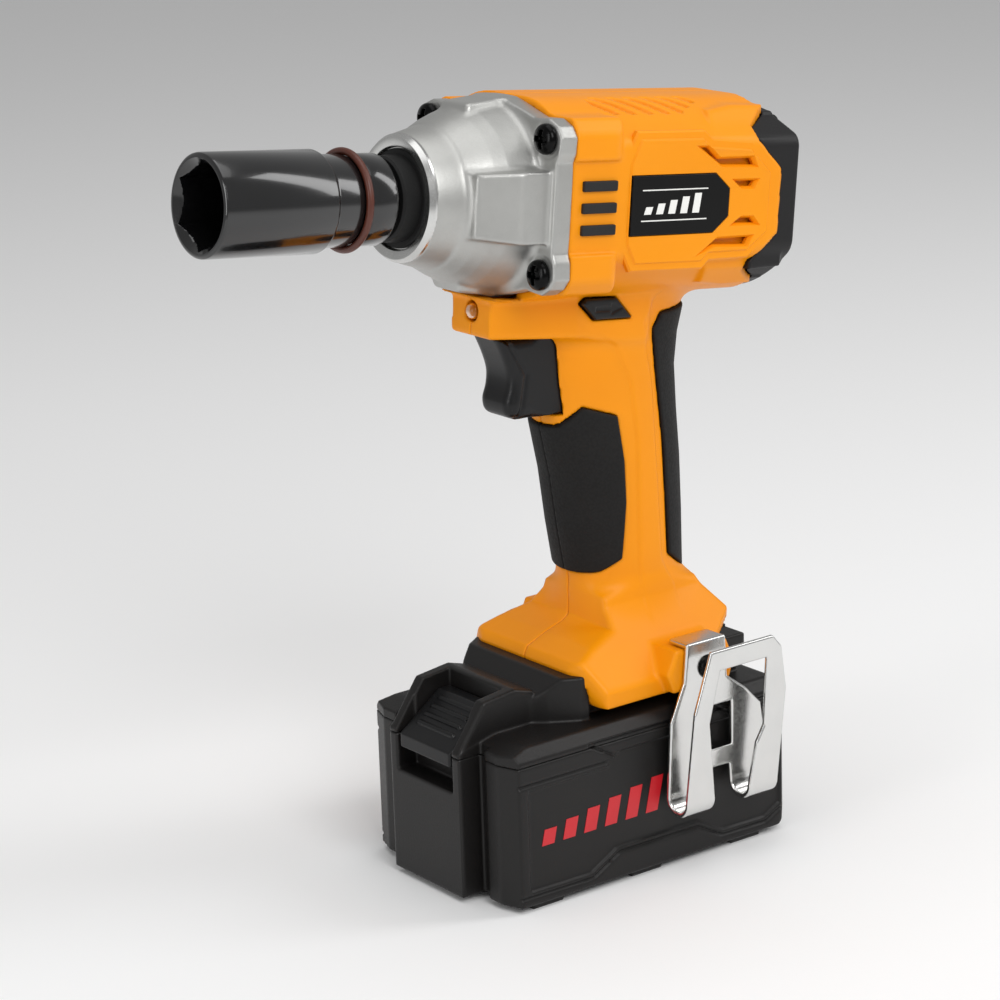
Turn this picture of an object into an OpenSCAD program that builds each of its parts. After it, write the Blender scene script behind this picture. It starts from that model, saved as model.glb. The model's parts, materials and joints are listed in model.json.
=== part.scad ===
// Cordless impact wrench with a slide-on battery, a half-inch square drive and a deep socket.
// +X is the nose, +Y is the tool's left side (belt hook side), +Z is up.
// The origin is the centre of the battery's footprint on the surface that it stands on.

/* [Barrel] */
// Height of the barrel axis above the surface, at the pitch pivot
head_z = 205.6; // [205:0.1:206]
// Position of the pitch pivot along X
head_x = -8.7; // [-9:0.1:-8.4]
// Nose-up pitch of the barrel, in degrees
head_pitch = 6; // [5.8:0.1:6.2]
// Half width of the barrel housing
barrel_half_w = 33; // [32.6:0.1:33.4]
// Wall thickness of the mouldings
wall = 2.6; // [2.2:0.1:2.8]

/* [Impact unit] */
// Across flats of the square drive
drive_af = 12.7; // [12.5:0.1:12.8]
// Across flats of the socket's hexagon
socket_af = 22; // [17:1:22]
// Outside radius of the socket
socket_r = 14.75; // [14.5:0.05:15]
// Radius of the anvil's journal
anvil_r = 8; // [7.8:0.1:8.2]

/* [Gear train] */
// Tooth size of the planetary gears
gear_module = 0.8; // [0.76:0.01:0.8]
// Teeth on the sun pinion
sun_teeth = 12; // [12:12:12]
// Teeth on each planet
planet_teeth = 18; // [18:18:18]
// Teeth inside the ring gear
ring_teeth = 48; // [48:48:48]

/* [Motor] */
// Outside radius of the stator
stator_r = 24.5; // [24:0.1:24.5]
// Outside radius of the rotor
rotor_r = 12.5; // [12:0.1:12.6]
// Radius of the motor shaft
shaft_r = 2.5; // [2.3:0.1:2.5]

/* [Handle] */
// Half width of the handle
handle_half_w = 16.5; // [16:0.1:17]
// Thickness of the rubber grips
grip_t = 1.8; // [1.6:0.1:2]
// Travel of the trigger
trigger_travel = 6; // [4:0.5:6]

/* [Battery] */
// Length of the battery
battery_l = 114.3; // [114:0.1:115]
// Half width of the battery
battery_half_w = 36.2; // [36:0.1:36.4]
// Height of the deck that the foot hangs over
deck_z = 51; // [50.8:0.1:51.2]
// Height of the joint between the battery's two shells
shell_split_z = 46; // [45.5:0.1:46]
// Radius of one cell
cell_r = 9.1; // [9:0.05:9.1]
// Length of one cell
cell_l = 65; // [64:0.5:65]

/* [Belt hook] */
// Thickness of the hook's steel strap
strap_t = 1.6; // [1.2:0.1:1.8]
// Gap between the hook's two layers
hook_gap = 7.2; // [6.5:0.1:7.2]

/* [Hidden] */
$fn = 64;
eps = 0.01;
fit = 0.03;

// Stations along the barrel axis, measured forwards from the pitch pivot
seam_x = -50;
cap_back_x = -66.3;
flange_x0 = 30;
flange_x1 = 36.35;
nose_x = 68.8;
neck_x = 75.5;
socket_front_x = 134.3;
shoulder_x = 97.4;
ring_x = 86.5;
ear_x0 = 45;
ear_x1 = 50;
bush_x0 = 52.3;
bush_x1 = 65.5;
chin_low = -41.5;
chin_top = -29.3;
chin_half_w = 16.2;
barrel_top = 29.5;
screw_y = 28.4;
screw_z = 19.44;
led_zl = -34.1;

// Heights and places in the base frame
foot_low = 54.6;
foot_roof = 65;
platform_top = 64.5;
platform_x0 = -48;
platform_x1 = 17;
hook_x = -22;
hook_zc = 62.6;
hook_y0 = 37.9;
block_x = battery_l / 2;
case_x = 51.35;

// [height, front, back] of the handle's side outline
handle_stations = [[76, -1, -39.5], [90, 1.5, -39.6], [104, 4, -39.8], [121, 6.3, -39.6],
    [136, 9.5, -38.8], [150, 11.6, -38.4], [160, 12.4, -40], [178, 12.4, -46]];

planet_orbit = gear_module * (sun_teeth + planet_teeth) / 2;
planet_angles = [90, 210, 330];

// ---------- frames and simple turned shapes ----------

module head() translate([head_x, 0, head_z]) rotate([0, -head_pitch, 0]) children();

// Local x becomes +Y, local y becomes +Z and the height runs along +X
module along_x(x0) translate([x0, 0, 0]) rotate([90, 0, 90]) children();

module rod(x0, x1, r) along_x(x0) cylinder(h = x1 - x0, r = r);

module tube(x0, x1, outer, inner) difference() {
    rod(x0, x1, outer);
    rod(x0 - 1, x1 + 1, inner);
}

// Profile points are [distance along the barrel, radius]
module turned(profile) rotate([90, 0, 90]) rotate_extrude($fn = 96)
    polygon([for (p = profile) [p[1], p[0]]]);

// A plate in the XZ plane from y0 to y1
module side_plate(points, y0, y1) translate([0, y1, 0]) rotate([90, 0, 0])
    linear_extrude(y1 - y0) polygon(points);

module cross_rod(x, z, y0, y1, r) translate([x, y0, z]) rotate([-90, 0, 0])
    cylinder(h = y1 - y0, r = r);

module box(x, y, z) translate([x[0], y[0], z[0]]) cube([x[1] - x[0], y[1] - y[0], z[1] - z[0]]);

// Half of a part on one side of the mid plane: side is 1 for left and -1 for right
module half(side) intersection() {
    children();
    translate([-100, side > 0 ? 0 : -80, 20]) cube([260, 80, 260]);
}

// ---------- gears ----------

pressure = 20;
function involute(a) = tan(a) * 180 / PI - a;
function tooth_half(r, pitch_r, teeth, slack) = let (base = pitch_r * cos(pressure))
    90 / teeth + involute(pressure) - involute(acos(min(1, base / max(r, base))))
    - slack / pitch_r * 180 / PI;
function gear_points(teeth, tip, root, slack) = let (pitch_r = gear_module * teeth / 2,
    base = pitch_r * cos(pressure), steps = [for (i = [0 : 3])
    max(root, base) + (tip - max(root, base)) * i / 3])
    [for (t = [0 : teeth - 1], side = [-1, 1], k = [0 : 4])
        let (i = side < 0 ? k : 4 - k, r = i == 0 ? root : steps[i - 1],
        a = t * 360 / teeth + side * tooth_half(r, pitch_r, teeth, slack)) [r * cos(a), r * sin(a)]];

addendum = 0.75 * gear_module;
dedendum = 1.2 * gear_module;
gear_slack = 0.05;

module outer_gear(teeth, turn) rotate(turn)
    polygon(gear_points(teeth, gear_module * teeth / 2 + addendum, gear_module * teeth / 2 - dedendum,
    gear_slack));

module ring_teeth_cut() polygon(gear_points(ring_teeth, gear_module * ring_teeth / 2 + dedendum,
    gear_module * ring_teeth / 2 - addendum, -gear_slack));

// ---------- housing shapes, with t as the inset from the outside ----------

function barrel_side(t) = [[barrel_half_w - t, -15.5 + 0.43 * t], [barrel_half_w - t, 18.5 - 0.52 * t],
    [23.3 - 0.48 * t, 25.3 - 0.88 * t], [13 - 0.2 * t, barrel_top - t]];
function barrel_under(t) = [[13.3 - 0.2 * t, -barrel_top - 0.5 + t], [21.2 - 0.55 * t, -26.8 + 0.85 * t]];

// Half outlines joined to their mirror images
function barrel_section(t) = let (side = concat(barrel_under(t), barrel_side(t)))
    concat(side, [for (i = [len(side) - 1 : -1 : 0]) [-side[i][0], side[i][1]]]);

module barrel_form(t, x0, x1) along_x(x0) linear_extrude(x1 - x0) polygon(barrel_section(t));

module chin_form(t, low) translate([0, 0, low]) linear_extrude(chin_top - low + 3)
    polygon([[39 - t, -9.3 + t],
    [39 - t, 9.3 - t], [12, chin_half_w - t], [-12, chin_half_w - t], [-12, -chin_half_w + t],
    [12, -chin_half_w + t]]);

// Reach of an elliptical section of the handle in the direction a
function reach(s, t, a) = let (c = (s[1] + s[2]) / 2, h = (s[1] - s[2]) / 2 - t)
    c * cos(a) + 1.02 * sqrt(pow(h * cos(a), 2) + pow((handle_half_w - t) * sin(a), 2));

module handle_slab(t, a) rotate([0, 0, a]) rotate([90, 0, 0]) translate([0, 0, -60]) linear_extrude(120)
    polygon(concat([for (s = handle_stations) [reach(s, t, a), s[0]]],
        [for (i = [len(handle_stations) - 1 : -1 : 0]) let (s = handle_stations[i])
        [-reach([s[0], -s[2], -s[1]], t, a), s[0]]]));

// The handle: slabs cut across each other at 45 degree steps
module handle_form(t) intersection() {
    handle_slab(t, 0);
    handle_slab(t, 45);
    handle_slab(t, -45);
    translate([-80, -handle_half_w + t, 60]) cube([140, 2 * (handle_half_w - t), 130]);
}

module foot_form(t) intersection() {
    translate([0, 0, foot_low]) linear_extrude(35) polygon([[18.8 - t, -21.6 + t], [18.8 - t, 21.6 - t],
        [12.5 - t, 33.6 - t],
        [-40 + t, 33.6 - t], [-51 + t, 20 - t], [-51 + t, -20 + t], [-40 + t, -33.6 + t],
        [12.5 - t, -33.6 + t]]);
    side_plate([[-60, foot_low], [13.2 - t, foot_low], [18.9 - t, foot_roof + 0.5], [17 - t, 68.5 - t],
        [10, 71.5 - t],
        [0, 74.5 - t], [-2 - t, 82.5 - t], [-38.5 + t, 82.5 - t], [-45, 73 - t], [-52, 66 - t]], -40, 40);
    along_x(-70) linear_extrude(120) polygon([[33.6 - t, foot_low], [33.6 - t, 60 - t], [24, 71 - t],
        [15.5 - t, 80 - t],
        [14 - t, 84 - t], [-14 + t, 84 - t], [-15.5 + t, 80 - t], [-24, 71 - t], [-33.6 + t, 60 - t],
        [-33.6 + t, foot_low]]);
}

module hook_boss() side_plate([[-10, 56], [-7.5, 62], [-11, 69.3], [-31, 69.3], [-34, 62],
    [-32, 56]], -37.7, 37.7);

front_grip_zone = [[30, 136], [8, 137.5], [3, 143.5], [-8, 139.5], [-10.3, 125], [-10.8, 112],
    [-9.3, 94], [-3, 90], [4, 88.5], [30, 86]];
rear_grip_zone = [[-22, 164], [-26, 168.5], [-60, 168.5], [-60, 84], [-37, 84.5], [-26.8, 92], [-25.7, 128]];

module grip(zone, side) half(side) intersection() {
    difference() {
        handle_form(0);
        handle_form(grip_t);
    }
    side_plate(zone, -40, 40);
}

// Screws that join the two halves: [x, z, reach of the boss, in the barrel's frame]
body_screws = [[-17.5, 104, 13.5, 0], [-16.5, 133, 13.5, 0], [-42, 69.2, 19, 0], [5, 68.9, 18, 0],
    [22, -36.2, 11, 1], [-46.2, 25, 12.5, 1], [-46.2, -25.4, 12.5, 1]];

module at_cap_screws() for (y = [-1, 1], z = [-1, 1]) translate([0, y * 19.5, z * 21.5]) children();

module at_case_screws() for (y = [-1, 1], z = [-1, 1]) translate([0, y * screw_y, z * screw_z]) children();

module at_screw(s) if (s[3] == 1) head() children(); else children();

module housing_outer() {
    difference() {
        handle_form(0);
        side_plate(front_grip_zone, -40, 40);
        side_plate(rear_grip_zone, -40, 40);
    }
    handle_form(grip_t);
    foot_form(0);
    hook_boss();
    head() barrel_form(0, seam_x, flange_x0);
    head() chin_form(0, chin_low);
    head() at_case_screws() rod(16, flange_x0, 6.2);
}

module housing_hollow() {
    handle_form(grip_t + wall);
    side_plate([[-43.5, foot_roof + wall], [9, foot_roof + wall], [5, 70.2], [-41, 70.2]], -20.5, 20.5);
    side_plate([[-39, 70], [-5, 70], [-5, 79], [-35, 79]], -12.8, 12.8);
    head() barrel_form(wall, seam_x - 1, flange_x0 + 1);
    head() chin_form(wall, chin_low + wall);
}

module motor_ribs() head() for (x = [-41, -25]) difference() {
    barrel_form(wall - 0.2, x, x + 2);
    rod(x - 1, x + 3, stator_r + fit);
}

vents = [[[-17, 16], [-23, 10.8], [-35, 10.8], [-34, 13.2], [-25, 13.2], [-20, 16]],
    [[-30, 6.6], [-39, 6.6], [-35.5, 3.4], [-33, 3.4]], [[-30, -6.6], [-39, -6.6], [-35.5, -3.4],
    [-33, -3.4]],
    [[-17, -16], [-23, -10.8], [-35, -10.8], [-34, -13.2], [-25, -13.2], [-20, -16]]];

// Slanted outline of the direction selector, grown by g
selector_half_l = 18.4;
function selector_outline(g) = [[11.4 + g, -30.9], [9.8 + g / 2, -29.5 + g], [-1.2 - g / 2, -29.5 + g],
    [-7.6 - 1.5 * g, -35.8 - g], [6.2 + g / 2, -35.8 - g]];

badge_points = [[8.3, -9], [8.3, 9], [-23.4, 9], [-29.4, 4.5], [-29.4, -4.5], [-23.4, -9]];

module rib_bars(y0, y1) head() for (z = [-6.4, 0, 6.4]) box([13.5, 25.5], [y0, y1], [z - 1.8, z + 1.8]);

module housing() difference() {
    union() {
        difference() {
            housing_outer();
            housing_hollow();
        }
        motor_ribs();
        for (s = body_screws) at_screw(s) cross_rod(s[0], s[1], -s[2], s[2], 3.6);
        head() at_cap_screws() rod(seam_x, -42.5, 3.4);
    }
    // Space for the battery's platform and its rails
    box([-48.4, 40], [-26.9, 26.9], [57.8, foot_roof]);
    box([-48.4, 40], [-23, 23], [foot_low - 1, foot_roof]);
    // Seat of the flange, trigger opening, selector slot, lens bore and case screws
    head() box([flange_x0, 45], [-40, 40], [chin_top, 0]);
    box([8 - trigger_travel, 40], [-8.7, 8.7], [139.6, 167]);
    head() side_plate(selector_outline(0.4), -30, 30);
    head() translate([0, 0, led_zl]) rod(30, 45, 2.6);
    head() translate([0, 0, led_zl]) rod(37.4, 45, 3.1);
    head() at_case_screws() rod(14, 31, 2.05);
    head() at_cap_screws() rod(seam_x - 1, -44, 1.5);
    // Recesses for the badges and rubber bars, and the air vents
    for (side = [0, 1]) mirror([0, side, 0]) {
        head() side_plate(badge_points, barrel_half_w - 0.8, 40);
        rib_bars(barrel_half_w - 1.2, 40);
        head() for (v = vents) side_plate(v, barrel_half_w - 5, 40);
        cross_rod(hook_x, hook_zc, 29, 40, 3);
    }
    // Body screws enter from the right side
    for (s = body_screws) at_screw(s) {
        cross_rod(s[0], s[1], -7, 9, 1.5);
        cross_rod(s[0], s[1], -40, -7, 3);
    }
}

module housing_left() color([0.97, 0.58, 0.09]) half(1) housing();
module housing_right() color([0.97, 0.58, 0.09]) half(-1) housing();

module rear_cap() color([0.08, 0.08, 0.09]) head() difference() {
    intersection() {
        barrel_form(1.2, cap_back_x, seam_x - 0.2);
        side_plate([[seam_x, 26], [-58, 25], [-60, 22.5], [-64, 22], [-64.5, 17], [cap_back_x, 14],
            [cap_back_x, -16], [-64.5, -19], [-64, -24], [-59, -25], [-57, -29.5], [seam_x, -30]], -40, 40);
        translate([0, 0, -40]) linear_extrude(80) polygon([[seam_x, -31.8], [seam_x, 31.8], [-55, 31.8],
            [cap_back_x, 20.5], [cap_back_x, -20.5], [-55, -31.8]]);
    }
    intersection() {
        barrel_form(1.2 + wall, cap_back_x + 2.4, seam_x);
        translate([0, 0, -40]) linear_extrude(80) polygon([[seam_x + 1, -29.4], [seam_x + 1, 29.4],
            [-54, 29.4],
            [cap_back_x + 2.4, 18.5], [cap_back_x + 2.4, -18.5], [-54, -29.4]]);
        side_plate([[seam_x + 1, 23.5], [-57, 22.5], [cap_back_x + 2.4, 12], [cap_back_x + 2.4, -14],
            [-57, -26], [seam_x + 1, -27]], -40, 40);
        difference() {
            rod(cap_back_x, seam_x + 1, 60);
            rod(cap_back_x, -53.2, 9);
            at_cap_screws() rod(cap_back_x, seam_x, 3.4);
        }
    }
    rod(-58.2, seam_x + 1, 6.5);
    for (z = [-11.5 : 4.6 : 11.6]) box([cap_back_x - 1, -60], [9.6, 17.5], [z - 1, z + 1]);
    for (z = [-11.5 : 4.6 : 11.6]) box([cap_back_x - 1, -60], [-17.5, -9.6], [z - 1, z + 1]);
    at_cap_screws() {
        rod(cap_back_x - 1, seam_x, 1.55);
        rod(cap_back_x - 1, -56, 3);
    }
}

module front_grip_left() color([0.07, 0.07, 0.07]) grip(front_grip_zone, 1);
module front_grip_right() color([0.07, 0.07, 0.07]) grip(front_grip_zone, -1);
module rear_grip_left() color([0.07, 0.07, 0.07]) grip(rear_grip_zone, 1);
module rear_grip_right() color([0.07, 0.07, 0.07]) grip(rear_grip_zone, -1);

module side_ribs_left() color([0.09, 0.09, 0.1]) rib_bars(barrel_half_w - 1.2, barrel_half_w + 0.9);
module side_ribs_right() color([0.09, 0.09, 0.1]) mirror([0, 1, 0])
    rib_bars(barrel_half_w - 1.2, barrel_half_w + 0.9);

module badge_left() color([0.02, 0.02, 0.02]) head()
    side_plate(badge_points, barrel_half_w - 0.8, barrel_half_w + 0.2);
module badge_right() color([0.02, 0.02, 0.02]) mirror([0, 1, 0]) head()
    side_plate(badge_points, barrel_half_w - 0.8, barrel_half_w + 0.2);

// ---------- impact unit ----------

flange_section = [[12, -29], [26.8, -24.6], [31, -25.2], [34.6, -22], [34.6, -15], [33.3, -11.5],
    [33.3, 11.5],
    [34.6, 15], [34.6, 22], [31, 25.2], [26.8, 24.6], [12, 29], [-12, 29], [-26.8, 24.6], [-31, 25.2],
    [-34.6, 22],
    [-34.6, 15], [-33.3, 11.5], [-33.3, -11.5], [-34.6, -15], [-34.6, -22], [-31, -25.2], [-26.8, -24.6],
    [-12, -29]];

module hammer_case() color([0.72, 0.72, 0.71]) head() difference() {
    union() {
        turned([[9, 0], [9, 26.5], [33, 26.5], [33, 28.3], [41, 28], [50.3, 25.8], [57, 22.4], [62, 20.2],
            [64.6, 18.8], [65.4, 18.2], [67.6, 18.1], [nose_x, 17.1], [nose_x, 0]]);
        along_x(flange_x0 + eps) linear_extrude(flange_x1 - flange_x0) polygon(flange_section);
        for (y = [-1, 1]) side_plate([[36, 10.5], [52, 9], [52, -9],
            [36, -10.5]], y > 0 ? 20 : -31, y > 0 ? 31 : -20);
    }
    at_case_screws() {
        rod(29, 40, 2.15);
        rod(flange_x1, 60, 5.4);
    }
    rod(8, ear_x1 + 2, 23.5);
    rod(52, bush_x1, 11.5);
    rod(bush_x1 - 1, nose_x + 1, 14.8);
}

module nose_bush() color([0.7, 0.5, 0.25]) head() tube(bush_x0, bush_x1, 11.5, anvil_r + fit);
module nose_seal() color([0.06, 0.06, 0.06]) head() difference() {
    union() {
        rod(bush_x1 + 0.2, bush_x1 + 2.2, 14.8);
        rod(bush_x1 + 2, neck_x - 1.6, 12.4);
    }
    rod(bush_x1 - 1, neck_x, anvil_r + 0.4);
}
module anvil_washer() color([0.8, 0.8, 0.78]) head() tube(ear_x1 + 0.3, ear_x1 + 1.9, 17, anvil_r + 0.3);

module anvil() color([0.35, 0.35, 0.36]) head() difference() {
    union() {
        rod(ear_x0, ear_x1, 12);
        rod(ear_x1 - 1, neck_x, anvil_r);
        along_x(neck_x - 1) translate([-drive_af / 2, -drive_af / 2, 0]) cube([drive_af, drive_af, 18.5]);
        intersection() {
            rod(ear_x0, ear_x1, 18);
            box([ear_x0, ear_x1], [-20, 20], [-5.5, 5.5]);
        }
    }
    rod(ear_x0 - 1, 57, 4.5 + fit);
    cross_rod(84, 0, -20, 20, 1.6);
}

module hammer() color([0.3, 0.3, 0.31]) head() difference() {
    union() {
        rod(20, 39.5, 21.3);
        intersection() {
            tube(39, ear_x0 + 4, 20, 12.8);
            box([39, ear_x0 + 4], [-6, 6], [-30, 30]);
        }
    }
    rod(19, 41, 9 + fit);
    tube(19, 33, 17.5, 11);
    for (s = [-1, 1]) translate([0, s * 9, 0]) rod(28, 41, 2.5);
}

// Coil spring swept along a helix round the barrel axis
coil_turns = 4.5;
coil_sides = 8;
coil_steps = 90;
function coil_ring(i, x0, length, mean_r, wire_r) = let (u = i / coil_steps, a = 360 * coil_turns * u)
    [for (k = [0 : coil_sides - 1]) let (b = 360 * k / coil_sides, r = mean_r + wire_r * cos(b))
    [x0 + wire_r + (length - 2 * wire_r) * u + wire_r * sin(b), r * cos(a), r * sin(a)]];
module coil(x0, length, mean_r, wire_r) polyhedron(
    points = [for (i = [0 : coil_steps]) each coil_ring(i, x0, length, mean_r, wire_r)],
    faces = concat([[for (k = [0 : coil_sides - 1]) k]],
        [for (i = [0 : coil_steps - 1], k = [0 : coil_sides - 1]) let (a = i * coil_sides + k,
            b = i * coil_sides + (k + 1) % coil_sides) [a, a + coil_sides, b + coil_sides, b]],
        [[for (k = [coil_sides - 1 : -1 : 0]) coil_steps * coil_sides + k]]));

module hammer_spring() color([0.55, 0.56, 0.58]) head() coil(8.2, 24.5, 14.2, 1.5);

module spindle() color([0.42, 0.42, 0.43]) head() difference() {
    union() {
        rod(3, 7.5, 19);
        rod(-8, -5.6, 17);
        rod(-14, -8, 8);
        rod(7, 42, 9);
        rod(41, 56, 4.5);
        intersection() {
            rod(-6, 3.5, 15.5);
            for (a = [30, 150, 270]) rotate([a, 0, 0]) box([-6, 3.5], [8.5, 16], [-2.2, 2.2]);
        }
    }
    rod(-15, 3, 6.2);
    for (a = planet_angles) rotate([a, 0, 0]) translate([0, planet_orbit, 0]) rod(-9, 5, 2);
    for (s = [-1, 1]) translate([36, s * 9, 0]) sphere(r = 2.45, $fn = 48);
}

module cam_balls() color([0.8, 0.8, 0.82]) head() for (s = [-1, 1]) translate([36, s * 9, 0])
    sphere(r = 2.4, $fn = 48);

module planet(i) color([0.5, 0.5, 0.5]) head() rotate([planet_angles[i], 0, 0])
    translate([0, planet_orbit, 0])
    along_x(-5.2) difference() {
        linear_extrude(7.8) outer_gear(planet_teeth, 0);
        translate([0, 0, -1]) cylinder(h = 10, r = 2 + fit);
    }
module planet_gear_1() planet(0);
module planet_gear_2() planet(1);
module planet_gear_3() planet(2);

module planet_pins() color([0.75, 0.75, 0.76]) head() for (a = planet_angles) rotate([a, 0, 0])
    translate([0, planet_orbit, 0]) rod(-8, 5, 2);

module ring_gear() color([0.45, 0.45, 0.46]) head() along_x(-6) difference() {
    linear_extrude(8.7) circle(r = 22.5);
    translate([0, 0, -1]) linear_extrude(12) ring_teeth_cut();
}

module gear_case() color([0.1, 0.1, 0.1]) head() difference() {
    union() {
        rod(-16, 8.7, 24.8);
        rod(4, 8.7, 26.5);
        rod(-20, -15, 12);
    }
    rod(-6, 10, 22.5);
    rod(-9.2, -5, 19.6);
    rod(-14.2, -5, 14);
    rod(-30, 0, 8.4);
    rod(-20.5, -15.4, 8);
}

module spindle_bearing() color([0.75, 0.76, 0.78]) head() tube(-13.6, -8.6, 14, 8 + fit);

// ---------- motor ----------

module stator_slots(r) for (a = [0 : 60 : 300]) rotate(a + 30) translate([12.5, -3, 0]) square([r - 12.5, 6]);

module stator_core() color([0.4, 0.4, 0.42]) head() along_x(-42) difference() {
    cylinder(h = 20, r = stator_r);
    translate([0, 0, -1]) cylinder(h = 22, r = rotor_r + 0.5);
    translate([0, 0, -1]) linear_extrude(22) stator_slots(21);
}

module stator_windings() color([0.72, 0.38, 0.16]) head() for (a = [0 : 60 : 300]) rotate([a + 30, 0, 0])
    box([-44.2, -20.2], [14, 20.6], [-2.7, 2.7]);

module rotor_core() color([0.35, 0.35, 0.37]) head() tube(-42, -22, rotor_r, shaft_r);

module motor_shaft() color([0.7, 0.7, 0.72]) head() {
    rod(-58, -6, shaft_r);
    along_x(-6.5) linear_extrude(8.5) outer_gear(sun_teeth, 15);
}

module cooling_fan() color([0.12, 0.12, 0.13]) head() difference() {
    union() {
        rod(-47, -45.4, 20.5);
        rod(-51.5, -45.4, 6);
        for (a = [0 : 24 : 336]) rotate([a, 0, 0]) box([-51.5, -46], [5, 19.5], [-0.6, 0.6]);
    }
    rod(-60, -40, shaft_r);
}

module motor_bearings() color([0.75, 0.76, 0.78]) head() {
    tube(-58.2, -53.4, 6.5, shaft_r + fit);
    tube(-20.3, -15.5, 8, shaft_r + fit);
}

module sensor_board() color([0.05, 0.25, 0.12]) head() difference() {
    rod(-45.2 + 25.4, -18.6, 24);
    rod(-30, -10, 12.3);
}

// ---------- socket ----------

module socket() color([0.03, 0.03, 0.03]) head() difference() {
    turned([[neck_x + 0.3, 0], [neck_x + 0.3, 12.4], [neck_x + 1.1, 13.2], [ring_x - 1.3, 13.2],
        [ring_x - 1, 12.7],
        [ring_x + 1, 12.7], [ring_x + 1.3, 13.2], [shoulder_x - 1.6, 13.2], [shoulder_x, socket_r],
        [socket_front_x - 1, socket_r], [socket_front_x, socket_r - 1], [socket_front_x, 0]]);
    along_x(neck_x - 1) translate([-drive_af / 2 - 0.1, -drive_af / 2 - 0.1, 0])
        cube([drive_af + 0.2, drive_af + 0.2, 20]);
    rod(shoulder_x - 0.5, socket_front_x, 10.6);
    along_x(socket_front_x - 24) rotate(30) cylinder(h = 30, r = socket_af / sqrt(3), $fn = 6);
    turned([[socket_front_x - 1.2, 0], [socket_front_x - 1.2, socket_af / sqrt(3) - 0.6],
        [socket_front_x + 0.1, socket_r - 1.2],
        [socket_front_x + 0.1, 0]]);
    cross_rod(84, 0, -20, 20, 1.6);
}

module socket_ring() color([0.28, 0.11, 0.06]) head() along_x(ring_x) rotate_extrude($fn = 96)
    translate([13.9, 0]) circle(r = 1.1, $fn = 24);

module socket_pin() color([0.6, 0.6, 0.62]) head() cross_rod(84, 0, -12.4, 12.4, 1.58);

// ---------- screws ----------

// Cross-recessed pan head screw along +X: head at x, shank behind it
module pan_screw(x, head_r, head_h, shank_r, length) difference() {
    union() {
        rod(x, x + head_h * 0.5, head_r);
        along_x(x + head_h * 0.5) cylinder(h = head_h * 0.5, r1 = head_r, r2 = head_r * 0.72);
        rod(x - length, x + eps, shank_r);
    }
    for (a = [0, 90]) rotate([a, 0, 0]) box([x + head_h * 0.35, x + head_h + 1],
        [-head_r * 0.55, head_r * 0.55], [-0.5, 0.5]);
}

module case_screws() color([0.08, 0.08, 0.08]) head() at_case_screws()
    pan_screw(flange_x1 + 0.02, 4.4, 3, 2, 21);

module housing_screws() color([0.15, 0.15, 0.15]) for (s = body_screws) at_screw(s)
    translate([s[0], -7, s[1]]) rotate([0, 0, -90]) pan_screw(0, 2.7, 2.2, 1.48, 15);

module rear_cap_screws() color([0.15, 0.15, 0.15]) head() at_cap_screws()
    mirror([1, 0, 0]) pan_screw(56, 2.7, 2.2, 1.48, 11);

// ---------- trigger group ----------

trigger_axis_z = 153;

module trigger() color([0.08, 0.08, 0.09]) {
    side_plate([[29.4, 167.2], [26.4, 161.5], [24.7, 156], [25, 151.5], [26.6, 147], [26.4, 142.8],
        [23.5, 140.4],
        [15, 140.6], [11, 142], [9.2, 150], [9.2, 165]], -8.3, 8.3);
    translate([9.5, 0, trigger_axis_z]) rotate([0, -head_pitch, 0]) rod(-11, 0, 2.5);
}

module trigger_switch() color([0.1, 0.1, 0.1]) difference() {
    box([-18, 0.5], [-8, 8], [143, 163]);
    translate([9.5, 0, trigger_axis_z]) rotate([0, -head_pitch, 0]) rod(-19, 0, 2.6);
    translate([9.5, 0, trigger_axis_z]) rotate([0, -head_pitch, 0]) rod(-9.8, 0, 4.6);
}

module trigger_spring() color([0.6, 0.6, 0.62]) translate([9.5, 0, trigger_axis_z])
    rotate([0, -head_pitch, 0])
    coil(-9.6, 9.0, 3.6, 0.4);

module direction_selector() color([0.07, 0.07, 0.08]) head()
    side_plate(selector_outline(0), -selector_half_l, selector_half_l);

module led_lens() color([0.95, 0.9, 0.75]) head() translate([0, 0, led_zl]) {
    rod(31, 38.2, 2.5);
    rod(37.6, 38.8, 2.9);
}

module control_board() color([0.05, 0.3, 0.15]) {
    box([-36, -4], [-17, 17], [68.3, 69.9]);
    box([-34, -22], [-10, 10], [69.9, 73]);
    cross_rod(-12, 73.4, -8, 8, 3.4);
}

module motor_leads() color([0.6, 0.1, 0.1]) for (y = [-4, 0, 4]) translate([-26, y, 74])
    cylinder(h = 100, r = 1.1);

module terminal_block() color([0.1, 0.1, 0.1]) box([-48.3, -41], [-17, 17], [53.5, 64.9]);

module contact_blades() color([0.8, 0.7, 0.45]) for (y = [-12, 0, 12]) box([-41, -24],
    [y - 0.4, y + 0.4], [56, 62]);

module hook_inserts() color([0.75, 0.6, 0.3]) for (side = [0, 1]) mirror([0, side, 0]) difference() {
    cross_rod(hook_x, hook_zc, 29, 37.7, 3);
    cross_rod(hook_x, hook_zc, 28, 38, 1.65 + (side == 0 ? 0.35 : 0));
}

// ---------- belt hook ----------

hook_y1 = hook_y0 + strap_t;
hook_y2 = hook_y1 + hook_gap;
hook_y3 = hook_y2 + strap_t;
bend_y = (hook_y1 + hook_y2) / 2;
bend_z = 24;
front_leg = [-16.5, -5.5];
rear_leg = [-42, -30.4];

module bend(x) translate([0, bend_y, bend_z]) intersection() {
    tube(x[0], x[1], hook_gap / 2 + strap_t, hook_gap / 2);
    box([x[0] - 1, x[1] + 1], [-9, 9], [-9, 0]);
}

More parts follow.
